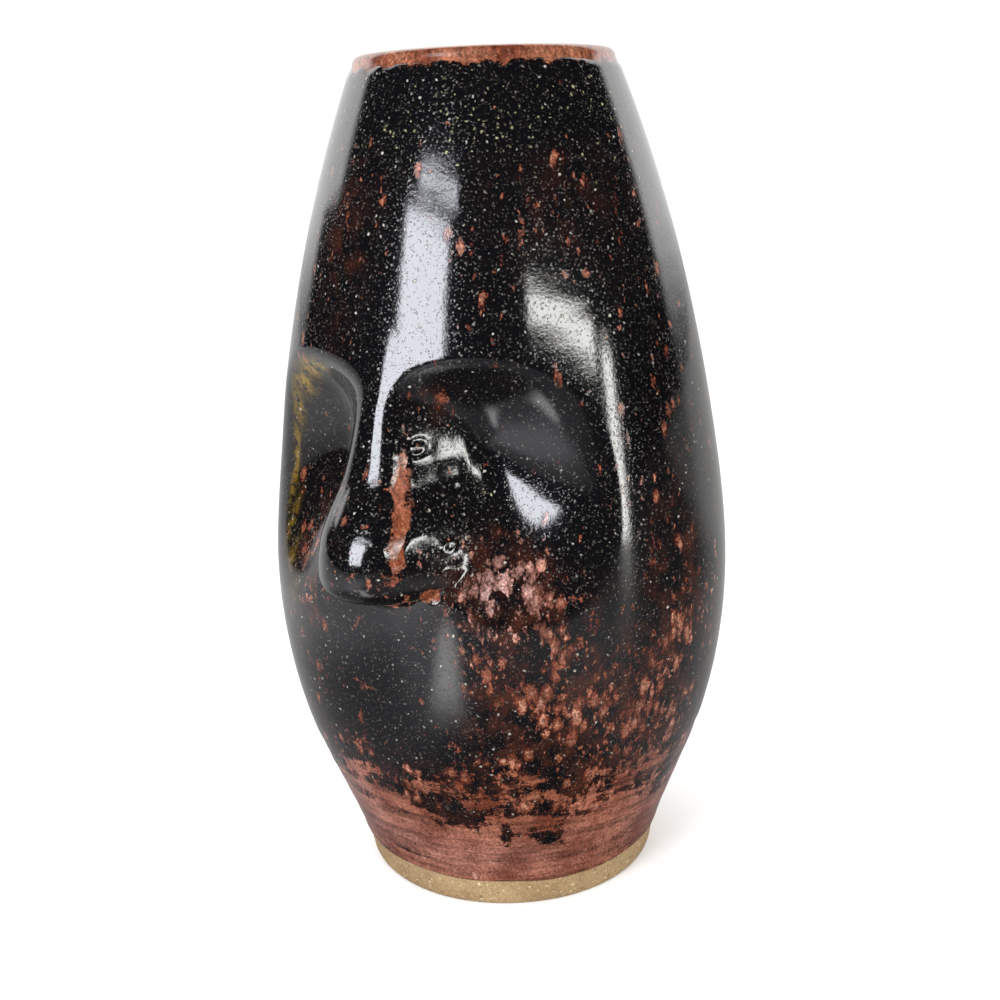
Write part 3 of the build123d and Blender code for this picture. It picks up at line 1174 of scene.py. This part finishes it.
@dataclass(frozen=True)
class OuterGlaze:
    """Finish of an outer glaze coat."""

    name: str
    cover: float
    black: Rgba = (0.0022, 0.0020, 0.0026, 1)
    pinhole_shade: Rgba = (0.002, 0.002, 0.002, 1)
    peel: float = 0.30
    black_rise: float = 0.25
    grit_rise: float = 1.5
    bump_depth: float = 0.00006
    ior: float = 1.56

    def make(self, layers: Tree, skin: Tree) -> bpy.types.Material:
        """Mixes the finish.

        Args:
            layers: the group of the two coats as fired together.
            skin: the group of fine unevenness.

        Returns:
            The new material.
        """
        surface = Surface(self.name)
        sheet = surface.sheet
        mixed = sheet.group(layers, Cover=self.cover, Black=self.black)
        fine = sheet.group(skin, Peel=self.peel)
        raised = sheet.plus(fine["Height"], sheet.times(mixed["Black"], self.black_rise))
        raised = sheet.plus(raised, sheet.times(mixed["Grit"], self.grit_rise))
        # Painted shade: the pinholes are coloured near black.
        colour = sheet.blend(fine["Pinholes"], mixed["Colour"], self.pinhole_shade)
        surface.set(colour, mixed["Roughness"], raised, self.bump_depth)
        surface.inputs["IOR"].default_value = self.ior
        return surface.material


@dataclass(frozen=True)
class LinerGlaze:
    """Finish of the dark glaze inside."""

    name: str = "liner_glaze"
    dark: Rgba = (0.008, 0.005, 0.004, 1)
    brown: Rgba = (0.050, 0.017, 0.008, 1)
    pale: Rgba = (0.30, 0.27, 0.22, 1)
    pale_specks: Specks = Specks(520.0, 0.27, 0.22)
    pooled: Grain = Grain(70, 4, 0.6, 3)
    pooled_edge: Pair = (0.40, 0.72)
    pooled_span: Pair = (0.3, 0.7)
    pooled_rough: Pair = (0.07, 0.16)
    peel: float = 0.6
    bump_depth: float = 0.00006
    ior: float = 1.55

    def make(self, speckle: Tree, skin: Tree) -> bpy.types.Material:
        """Mixes the finish.

        Args:
            speckle: the group of round specks.
            skin: the group of fine unevenness.

        Returns:
            The new material.
        """
        surface = Surface(self.name)
        sheet = surface.sheet
        pooled = sheet.grain(self.pooled)
        colour = sheet.blend(sheet.step(pooled, *self.pooled_edge), self.dark, self.brown)
        colour = sheet.blend(sheet.specks(speckle, self.pale_specks), colour, self.pale)
        raised = sheet.group(skin, Peel=self.peel)["Height"]
        rough = sheet.scaled(pooled, *self.pooled_span, *self.pooled_rough)
        surface.set(colour, rough, raised, self.bump_depth)
        surface.inputs["IOR"].default_value = self.ior
        return surface.material


@dataclass(frozen=True)
class Stoneware:
    """Finish of fired clay without glaze."""

    name: str
    light: Rgba
    dark: Rgba
    bump_depth: float = 0.00025
    grain_span: Pair = (0.2, 0.8)
    grain_rough: Pair = (0.92, 0.78)

    def make(self, clay: Tree) -> bpy.types.Material:
        """Mixes the finish from the group of grogged clay.

        Args:
            clay: the group of grogged clay.

        Returns:
            The new material.
        """
        surface = Surface(self.name)
        body = surface.sheet.group(clay, Light=self.light, Dark=self.dark)
        rough = surface.sheet.scaled(body["Height"], *self.grain_span, *self.grain_rough)
        surface.set(body["Colour"], rough, body["Height"], self.bump_depth)
        return surface.material


def dress(piece: Piece, material: bpy.types.Material) -> None:
    """Gives a piece its material in place of any other."""
    piece.data.materials.clear()
    piece.data.materials.append(material)


def seat(piece: Piece, slot: str, *nodes: str) -> None:
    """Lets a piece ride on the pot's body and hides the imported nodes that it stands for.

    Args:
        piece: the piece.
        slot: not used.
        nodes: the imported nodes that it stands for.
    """
    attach(piece, BODY)
    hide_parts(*nodes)
    LOG.info("%s: %d faces, stands for %s", piece.name, len(piece.data.polygons), ", ".join(nodes))


@dataclass
class LipRound:
    """The rounded lip's cross-section, which the coats follow from the outside to the inside."""

    form: PotForm
    steps: int = 7

    def rings(self, angle: Array, proud: float) -> Array:
        """Rings over the lip, from its outer side over the top to its inner side.

        Args:
            angle: angles round the pot.
            proud: how far the rings stand proud of the clay.

        Returns:
            Points of the rings, from the outside to the inside.
        """
        middle = self.form.clay_top - self.form.lip_round
        level = np.full_like(angle, middle)
        outer = self.form.clay(angle, level) - self.form.lip_round
        inner = self.form.bore(angle, level) + self.form.lip_round
        size = self.form.lip_round + proud
        turns = np.linspace(0, np.pi / 2, self.steps)
        out = [place(outer + size * math.cos(t), angle, middle + size * math.sin(t)) for t in turns]
        back = [place(inner - size * math.cos(t), angle, middle + size * math.sin(t)) for t in turns[::-1]]
        return np.array(out + back)


@dataclass
class RustCoat:
    """First coat: iron-rust glaze from a rolled edge at the foot over the lip and a little way in."""

    form: PotForm
    paint: GlazePaint
    thickness: float = 0.0005
    roll_height: float = 0.0016
    roll_rings: int = 6
    bead_rise: float = 0.00022
    bead_height: float = 0.0030
    bead_reach: float = 0.0022
    edge_wander: float = 0.0011
    edge_drop: float = 0.0004
    edge_grain: float = 0.022
    edge_top: float = 0.030
    edge_span: float = 0.020
    inner_start: float = 0.0006
    inner_edge: float = 0.2475
    inner_tail: float = 0.003
    inner_rings: int = 10
    inner_swell: float = 0.0002
    bed: float = 0.0001
    lip_bed: float = 0.0004
    under_skip: int = 3
    front: float = 80.0
    front_turn: float = 0.75
    back_turn: float = 1.5
    low_top: float = 0.060
    crease_below: float = 0.014
    crease_above: float = 0.004
    face_top: float = 0.168
    brow_top: float = 0.180
    neck_top: float = 0.242
    fine_step: float = 0.0009
    belly_step: float = 0.0035
    crease_step: float = 0.0010
    face_step: float = 0.0013
    brow_step: float = 0.0030
    neck_step: float = 0.0040

    def heights(self) -> Array:
        """Ring heights from the foot to the lip's rounding, closest where the coat shows.

        Returns:
            The heights in metres.
        """
        turns = np.linspace(0, np.pi / 2, self.roll_rings)
        edge = self.form.foot_line + self.roll_height * (1 - np.cos(turns))[:-1]
        start, top = self.form.foot_line + self.roll_height, self.form.clay_top - self.form.lip_round
        crease = self.form.nose_tip - self.crease_below
        wings = self.form.nose_tip + self.crease_above
        low = stepped(start, self.fine_step, self.low_top, self.belly_step, crease)
        face = stepped(crease, self.crease_step, wings, self.face_step, self.face_top)
        brow = stepped(self.face_top, self.brow_step, self.brow_top, self.neck_step, self.neck_top)
        return np.concatenate([edge, low, face, brow, spaced(self.neck_top, top, self.fine_step)])

    def build(self) -> Piece:
        """Makes the coat as a closed skin on the clay.

        Returns:
            The new piece.
        """
        angle = stepped(-self.front, self.front_turn, self.front, self.back_turn, 360 - self.front)
        turn, z = np.meshgrid(angle, self.heights())
        foot = place(self.form.outline.at(z), turn, np.zeros_like(z))
        wander = self.edge_wander * soft_noise(foot, self.edge_grain, Seed.ROLLED_EDGE)
        wander = wander * ease((self.edge_top - z) / self.edge_span)
        z = z + np.maximum(wander, -self.edge_drop)
        up = np.clip((z - z[:1]) / self.roll_height, 0, 1)
        rolled = np.sqrt(np.clip(1 - (1 - up) ** 2, 0, 1))
        bead = self.bead_rise * np.exp(-(((z - z[:1] - self.bead_height) / self.bead_reach) ** 2))
        clay = self.form.clay(turn, z)
        outer = place(clay + self.thickness * rolled + bead * rolled, turn, z)
        lip = LipRound(self.form).rings(angle, self.thickness)
        inner_top = self.form.clay_top - self.form.lip_round - self.inner_start
        inner_levels = np.linspace(inner_top, self.inner_edge - self.inner_tail, self.inner_rings)
        inner_turn, inner_z = np.meshgrid(angle, inner_levels)
        thinning = np.linspace(self.thickness + self.inner_swell, -self.bed, self.inner_rings)[:, None]
        inner = place(self.form.bore(inner_turn, inner_z) - thinning, inner_turn, inner_z)
        under_lip = LipRound(self.form).rings(angle, -self.lip_bed)[::-1]
        back = slice(None, None, -self.under_skip)
        under = place(clay[back] - self.bed, turn[back], z[back])
        rings = np.concatenate([outer, lip, inner, under_lip, under])
        piece = ring_mesh("rust_coat", rings, Ends.LOOP)
        self.paint.lay(piece, np.broadcast_to(angle, rings.shape[:2]), rings[..., 2])
        return piece


@dataclass
class BlackCoat:
    """Second coat: black glaze over the rust, which thins away in a ragged edge below and under the lip."""

    form: PotForm
    paint: GlazePaint
    rust_thickness: float = 0.0005
    thickness: float = 0.0005
    dip: float = 0.00018
    bed: float = 0.0002
    under_skip: int = 2
    low: float = 0.016
    high: float = 0.2508
    ragged_share: float = 0.45
    ragged_grain: float = 0.012
    ragged_squash: float = 3.0
    edge_start: float = 0.5
    edge_span: float = 1.2
    front: float = 80.0
    face_side: float = 30.0
    face_turn: float = 0.45
    side_turn: float = 0.65
    back_turn: float = 1.5
    crease_below: float = 0.013
    crease_above: float = 0.003
    face_top: float = 0.156
    neck_top: float = 0.243
    plain_step: float = 0.0010
    crease_step: float = 0.0004
    face_step: float = 0.0005
    edge_step: float = 0.0006

    def heights(self) -> Array:
        """Ring heights from the lower edge to the upper, closest at the crease under the nose.

        Returns:
            The heights in metres.
        """
        crease = self.form.nose_tip - self.crease_below
        wings = self.form.nose_tip + self.crease_above
        low = spaced(self.low, crease, self.plain_step)
        face = stepped(crease, self.crease_step, wings, self.face_step, self.face_top)
        neck = stepped(self.face_top, self.plain_step, self.neck_top, self.edge_step, self.high)
        return np.concatenate([low, face, neck])

    def build(self) -> Piece:
        """Makes the coat as a closed skin that sinks into the rust coat along its edges.

        Returns:
            The new piece.
        """
        front, side, step = self.front, self.face_side, self.side_turn
        face = stepped(-front, step, -side, self.face_turn, side, step, front)
        angle = np.concatenate([face, spaced(front, 360 - front, self.back_turn)])
        turn, z = np.meshgrid(angle, self.heights())
        clay = self.form.clay(turn, z)
        points = place(clay, turn, z)
        ragged = soft_noise(points * (1, 1, self.ragged_squash), self.ragged_grain, Seed.RAGGED)
        cover = self.paint.coat(turn, z, points) + self.ragged_share * ragged
        whole = ease((cover + self.edge_start) / self.edge_span)
        surface = clay + self.rust_thickness - self.dip + (self.thickness + self.dip) * whole
        back = slice(None, None, -self.under_skip)
        under = place(clay[back] + self.bed, turn[back], z[back])
        rings = np.concatenate([place(surface, turn, z), under])
        piece = ring_mesh("black_coat", rings, Ends.LOOP)
        self.paint.lay(piece, np.broadcast_to(angle, rings.shape[:2]), rings[..., 2])
        return piece


@dataclass
class LinerCoat:
    """Dark glaze on the inside of the wall and over the floor, with the throwing rings showing through."""

    form: PotForm
    thickness: float = 0.0005
    floor: float = 0.0118
    floor_round: float = 0.006
    corner_steps: int = 8
    ring_pitch: float = 0.0072
    ring_rise: float = 0.00022
    ring_fade: Pair = (0.004, 0.020)
    edge_fade: float = 0.003
    top: float = 0.2530
    outer_rings: int = 70
    floor_rings: int = 26
    ripple_rise: float = 0.00025
    ripples: int = 6
    sole_shares: Pair = (0.1, 0.6)
    front: float = 80.0
    front_turn: float = 1.6
    back_turn: float = 2.4
    neck_low: float = 0.200
    neck_step: float = 0.0012
    belly_step: float = 0.0016

    def build(self) -> Piece:
        """Makes the coat as a closed skin.

        Returns:
            The new piece.
        """
        angle = stepped(-self.front, self.front_turn, self.front, self.back_turn, 360 - self.front)
        turn, z = np.meshgrid(angle, np.linspace(self.floor, self.top, self.outer_rings))
        clay = self.form.bore(turn, z)
        bottom = self.floor + self.floor_round
        inner_levels = stepped(self.top, self.neck_step, self.neck_low, self.belly_step, bottom)
        inner_turn, inner_z = np.meshgrid(angle, inner_levels)
        rings = np.sin(2 * np.pi * (inner_z / self.ring_pitch + inner_turn / 360))
        below = self.form.clay_top - inner_z
        fade = ease((below - self.ring_fade[0]) / self.ring_fade[1])
        thick = self.thickness * ease(below / self.edge_fade)
        wall = self.form.bore(inner_turn, inner_z) - thick - self.ring_rise * (1 + rings) * fade
        base, bend = self.floor + self.thickness, self.floor_round
        corner = [
            place(wall[-1] - bend * (1 - math.cos(t)), angle, base + bend * (1 - math.sin(t)))
            for t in np.linspace(0, np.pi / 2, self.corner_steps)[1:]
        ]
        shares = np.linspace(1, 0, self.floor_rings)[1:-1]
        ripple = self.ripple_rise * np.sin(2 * np.pi * shares * self.ripples) * (1 - shares)
        inset = wall[-1] - bend
        flat = [place(inset * share, angle, base + wave) for share, wave in zip(shares, ripple)]
        sole = self.form.bore(angle, np.full_like(angle, self.floor))
        under = [place(sole * share, angle, self.floor) for share in self.sole_shares]
        walls = [place(clay, turn, z), place(wall, inner_turn, inner_z)]
        stack = np.concatenate([np.array(under), *walls, np.array(corner + flat)])
        return ring_mesh("liner_coat", stack, Ends.POLES)


@dataclass
class BareFoot:
    """Clay floor of the pot, whose bare edge shows as the buff foot."""

    form: PotForm
    columns: int = 300
    edge_round: float = 0.0012
    edge_rings: int = 7
    base_rings: int = 24
    inmost_share: float = 0.02
    top_shares: tuple[float, ...] = (1, 0.5, 0.05)
    side_rings: int = 14
    register_height: float = 0.0030
    luting_gap: float = 0.0002
    collar: float = 0.0026
    collar_rings: int = 5
    collar_proud: float = 0.00014
    collar_inset: float = 0.0005
    collar_root: float = 0.0006
    uneven_rise: float = 0.00012
    uneven_grain: float = 0.014
    gritty_rise: float = 0.00006
    gritty_grain: float = 0.0016

    def build(self) -> Piece:
        """Makes the floor with its rounded lower edge and a thin collar of clay over the joint.

        Returns:
            The new piece.
        """
        angle = np.linspace(0, 360, self.columns, endpoint=False)
        line, foot = self.form.foot_line, self.form.outline.at(0.0)
        seat_radius = self.form.outline.at(line) - self.form.coats
        inset = foot - self.edge_round
        lean = math.atan2(seat_radius - foot, line)
        base = [(share * inset, 0.0) for share in np.linspace(self.inmost_share, 1, self.base_rings)]
        shown = [
            (inset + self.edge_round * math.cos(t), self.edge_round * (1 + math.sin(t)))
            for t in np.linspace(-np.pi / 2, -lean, self.edge_rings)[1:]
        ]
        side = np.linspace(self.edge_round, line, self.side_rings)[1:]
        shown += [(foot + (seat_radius - foot) * z / line, z) for z in side]
        collar = [
            place(self.form.clay(angle, np.full_like(angle, z)) + self.collar_proud, angle, z)
            for z in np.linspace(line, line + self.collar, self.collar_rings)[1:]
        ]
        step = seat_radius - self.form.wall_at_foot - self.luting_gap
        top = line + self.register_height
        inside = [
            (seat_radius - self.collar_inset, line + self.collar),
            (seat_radius - self.collar_root, line),
            (step, line),
            *((step * share, top) for share in self.top_shares),
        ]
        stack = np.array([*self._rings(angle, base + shown), *collar, *self._rings(angle, inside)])
        seen = slice(len(base), len(base) + len(shown))
        points = stack[seen]
        uneven = self.uneven_rise * soft_noise(points, self.uneven_grain, Seed.FOOT)
        uneven = uneven + self.gritty_rise * soft_noise(points, self.gritty_grain, Seed.FOOT_GRAIN)
        outward = points * (1, 1, 0) / np.linalg.norm(points[..., :2], axis=-1, keepdims=True)
        stack[seen] = points + outward * uneven[..., None]
        return ring_mesh("bare_foot", stack, Ends.POLES)

    @staticmethod
    def _rings(angle: Array, section: list[Pair]) -> list[Array]:
        """Round rings at the radii and heights of a section."""
        return [place(np.full_like(angle, radius), angle, z) for radius, z in section]


@dataclass(frozen=True)
class Lamp:
    """A soft lamp that points at the pot, placed in degrees from the camera's side.

    It hangs aside to the right and up from the pot's middle, with a width and a height in metres, a power in
    watts, a colour, and a roll about its own axis in degrees.
    """

    name: str
    aside: float
    up: float
    size: Pair
    watts: float
    colour: tuple[float, float, float]
    roll: float = 0.0


@dataclass
class Studio:
    """Floor, lamps, surround and camera, placed as for the photograph."""

    azimuth: float = 30.0
    distance: float = 0.399
    eye_height: float = 0.229
    tilt_down: float = 15.58
    roll: float = -2.12
    focal_pixels: float = 1286.0
    frame_pixels: float = 1000.0
    sensor: float = 36.0
    nearest: float = 0.01
    aim_height: float = 0.15
    lamp_distance: float = 1.0
    lamps: tuple[Lamp, ...] = (
        Lamp("lamp_left", -40.0, 18.6, (0.46, 0.38), 9.2, (0.90, 0.92, 1.0)),
        Lamp("lamp_left_strip", -34.5, 33.2, (0.40, 0.045), 0.85, (0.90, 0.92, 1.0)),
        Lamp("lamp_right", 37, 16.5, (0.62, 0.085), 2.8, (1.0, 1.0, 0.96), -13.0),
        Lamp("lamp_right_leg", 60, 1.5, (0.09, 0.34), 1.6, (1.0, 1.0, 0.96)),
    )
    floor_reach: float = 6.0
    floor_tones: tuple[Rgba, Rgba] = ((0.90, 0.90, 0.90, 1), (0.93, 0.93, 0.93, 1))
    floor_rough: float = 0.62
    mirrored_rough: float = 0.45
    # Painted reflection: floor tones that only glossy rays see, mirrored in the glaze.
    painted_reflection_back: Rgba = (0.34, 0.34, 0.33, 1)
    painted_reflection_front: Rgba = (0.14, 0.14, 0.145, 1)
    painted_reflection_left: Rgba = (0.46, 0.46, 0.47, 1)
    painted_reflection_right: Rgba = (0.040, 0.040, 0.038, 1)
    painted_dark_reflection_near: Rgba = (0.015, 0.015, 0.016, 1)
    floor_grain: Grain = Grain(3, 3, 0.5)
    front_edge: Pair = (-0.25, 0.05)
    left_edge: Pair = (-0.30, -0.16)
    right_edge: Pair = (0.16, 0.40)
    right_back: Pair = (-0.35, -0.12)
    near_back: Pair = (-0.03, 0.04)
    near_front: Pair = (0.11, 0.24)
    near_side: Pair = (0.05, 0.09)
    # Painted light: a strip of floor that glows for glossy rays only.
    painted_strip_aside: float = -25.0
    painted_strip_strength: float = 3.2
    painted_strip_back: Pair = (0.13, 0.20)
    painted_strip_front: Pair = (0.30, 0.42)
    painted_strip_side: Pair = (0.006, 0.032)
    wall_droop: float = 0.28
    wall_span: Pair = (-1.0, -0.42)
    wall_levels: Pair = (1.0, 3.0)
    wall_foot: Pair = (-0.26, -0.04)
    wall_foot_level: float = 0.06
    wall_edge: Pair = (-0.50, -0.38)
    wall_dark: float = 0.006
    narrow_side: Pair = (-0.05, 0.05)
    narrow_lift: Pair = (-0.06, 0.02)
    narrowing: float = 0.24
    fill: float = 1.12

    def build(self) -> None:
        """Sets up the whole studio."""
        self.lay_floor()
        for lamp in self.lamps:
            self.hang(lamp)
        self.surround()
        self.set_camera()
        bpy.context.scene.view_settings.view_transform = "Standard"

    def axes(self, sheet: Sheet, spot: Socket, aside: float = 0.0) -> tuple[Socket, Socket]:
        """How far a place lies toward the front, and to the right of that.

        Args:
            sheet: the sheet that the nodes go on.
            spot: the place.
            aside: degrees by which the front is turned to the right.

        Returns:
            The distances toward the front and to the right.
        """
        turn = math.radians(self.azimuth + aside)
        toward = sheet.dot(spot, (math.sin(turn), -math.cos(turn), 0))
        return toward, sheet.dot(spot, (math.cos(turn), math.sin(turn), 0))

    def lay_floor(self) -> None:
        """Lays a wide pale floor; to glossy rays it shows painted reflection greys and a painted streak of
        light, which the glaze mirrors.
        """
        mesh = bpy.data.meshes.new("floor")
        reach = self.floor_reach
        corners = [(-reach, -reach, 0), (reach, -reach, 0), (reach, reach, 0), (-reach, reach, 0)]
        mesh.from_pydata(corners, [], [(0, 1, 2, 3)])
        floor = link(bpy.data.objects.new("floor", mesh))
        surface = Surface("pale_floor")
        sheet = surface.sheet
        pale = sheet.blend(sheet.grain(self.floor_grain), *self.floor_tones)
        mirrored = sheet.add("LightPath").outputs["Is Glossy Ray"]
        before, beside = self.axes(sheet, sheet.position())
        along, aside = self.axes(sheet, sheet.position(), self.painted_strip_aside)
        # Painted reflection: glossy rays see greys here instead of the pale floor, darker in front, lighter
        # to the left and near black to the right.
        shade = sheet.blend(sheet.step(before, *self.front_edge), self.painted_reflection_back, self.painted_reflection_front)
        shade = sheet.blend(sheet.step(beside, *self.left_edge, 1.0, 0.0), shade, self.painted_reflection_left)
        right = sheet.times(sheet.step(beside, *self.right_edge), sheet.step(before, *self.right_back))
        shade = sheet.blend(right, shade, self.painted_reflection_right)
        # Painted shade in the reflection: a near-black patch of floor just before the pot, seen only by
        # glossy rays.
        dark_reflection_patch = sheet.step(before, *self.near_front, 1.0, 0.0)
        dark_reflection_patch = sheet.times(sheet.step(before, *self.near_back), dark_reflection_patch)
        dark_reflection_patch = sheet.times(dark_reflection_patch, sheet.step(sheet.math("ABSOLUTE", beside), *self.near_side, 1.0, 0.0))
        shade = sheet.blend(dark_reflection_patch, shade, self.painted_dark_reflection_near)
        rough = sheet.scaled(mirrored, 0, 1, self.floor_rough, self.mirrored_rough)
        surface.set(sheet.blend(mirrored, pale, shade), rough)
        # Painted light: this strip of floor glows only for glossy rays, so the glaze mirrors a streak of
        # light that is no lamp.
        glow = sheet.step(along, *self.painted_strip_front, self.painted_strip_strength, 0.0)
        glow = sheet.times(sheet.step(along, *self.painted_strip_back), glow)
        glow = sheet.times(glow, sheet.step(sheet.math("ABSOLUTE", aside), *self.painted_strip_side, 1.0, 0.0))
        sheet.feed(surface.inputs["Emission Strength"], sheet.times(glow, mirrored))
        surface.inputs["Emission Color"].default_value = (1.0, 1.0, 1.0, 1)
        surface.material.cycles.emission_sampling = "NONE"
        dress(floor, surface.material)

    def hang(self, lamp: Lamp) -> None:
        """Hangs a lamp.

        Args:
            lamp: the lamp.
        """
        light = bpy.data.lights.new(lamp.name, "AREA")
        light.shape = "RECTANGLE"
        light.size, light.size_y = lamp.size
        light.energy = lamp.watts
        light.color = lamp.colour
        hung = link(bpy.data.objects.new(lamp.name, light))
        turn, rise = math.radians(self.azimuth + lamp.aside), math.radians(lamp.up)
        away = Vector((math.sin(turn) * math.cos(rise), -math.cos(turn) * math.cos(rise), math.sin(rise)))
        hung.location = Vector((0, 0, self.aim_height)) + away * self.lamp_distance
        facing = (-away).to_track_quat("-Z", "Y")
        hung.rotation_euler = (facing @ Quaternion((0, 0, 1), math.radians(lamp.roll))).to_euler()

    def surround(self) -> None:
        """Puts a white surround about the pot that is dark on the camera's side."""
        world = bpy.data.worlds.new("surround")
        world.use_nodes = True
        bpy.context.scene.world = world
        sheet = Sheet(world.node_tree)
        view = sheet.add("TexCoord").outputs["Generated"]
        toward, across = self.axes(sheet, view)
        droop = sheet.times(sheet.math("ABSOLUTE", across), self.wall_droop)
        lift = sheet.math("SUBTRACT", sheet.height(view), droop)
        wall = sheet.scaled(toward, *self.wall_span, *self.wall_levels)
        wall = sheet.times(wall, sheet.step(lift, *self.wall_foot, self.wall_foot_level, 1.0))
        narrowed = sheet.step(across, *self.narrow_side, self.narrowing, 0.0)
        narrowed = sheet.times(narrowed, sheet.step(lift, *self.narrow_lift, 1.0, 0.0))
        nearness = sheet.plus(toward, narrowed)
        seen = sheet.times(wall, sheet.step(nearness, *self.wall_edge, 1.0, self.wall_dark))
        rays = sheet.add("LightPath").outputs
        filled = sheet.math("MAXIMUM", seen, sheet.times(rays["Is Diffuse Ray"], self.fill))
        shown = sheet.math("MAXIMUM", filled, rays["Is Camera Ray"])
        sheet.feed(world.node_tree.nodes["Background"].inputs["Color"], shown)

    def set_camera(self) -> None:
        """Places the camera as in the photograph."""
        data = bpy.data.cameras.new("camera")
        data.sensor_width = self.sensor
        data.lens = self.sensor * self.focal_pixels / self.frame_pixels
        data.clip_start = self.nearest
        camera = bpy.data.objects.new("camera", data)
        turn = math.radians(self.azimuth)
        stand = (self.distance * math.sin(turn), -self.distance * math.cos(turn), self.eye_height)
        camera.matrix_world = (
            Matrix.Translation(stand)
            @ Matrix.Rotation(turn, 4, "Z")
            @ Matrix.Rotation(math.radians(90 - self.tilt_down), 4, "X")
            @ Matrix.Rotation(math.radians(self.roll), 4, "Z")
        )
        bpy.context.scene.camera = link(camera)


def main() -> None:
    """Builds the coats, the foot and the studio."""
    logging.basicConfig(level=logging.INFO, format="%(name)s: %(message)s")
    form, paint = PotForm(), GlazePaint()
    speckle, skin = Speckle().make(), GlazeSkin().make()
    layers = FiredLayers().make(speckle, Fleck().make(), RustTones().make())
    clay = GroggedClay().make(speckle)
    bare = Stoneware("bare_stoneware", (0.335, 0.228, 0.110, 1), (0.245, 0.155, 0.068, 1))
    body = Stoneware("stoneware", (0.58, 0.41, 0.22, 1), (0.40, 0.26, 0.13, 1))

    rust = RustCoat(form, paint).build()
    dress(rust, OuterGlaze("rust_glaze", cover=-0.25).make(layers, skin))
    seat(rust, "rust_glaze", "rust_glaze")

    black = BlackCoat(form, paint).build()
    dress(black, OuterGlaze("black_glaze", cover=0.0).make(layers, skin))
    seat(black, "black_glaze", "black_glaze")

    liner = LinerCoat(form).build()
    dress(liner, LinerGlaze().make(speckle, skin))
    seat(liner, "liner_glaze", "liner_glaze")

    foot = BareFoot(form).build()
    dress(foot, bare.make(clay))
    seat(foot, "bare_stoneware", "floor_disc")

    fired = body.make(clay)
    for node in ("thrown_wall", "nose"):
        dress(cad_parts[node], fired)
        LOG.info("%s: packed piece in fired clay", node)

    Studio().build()


if __name__ == "__main__":
    main()
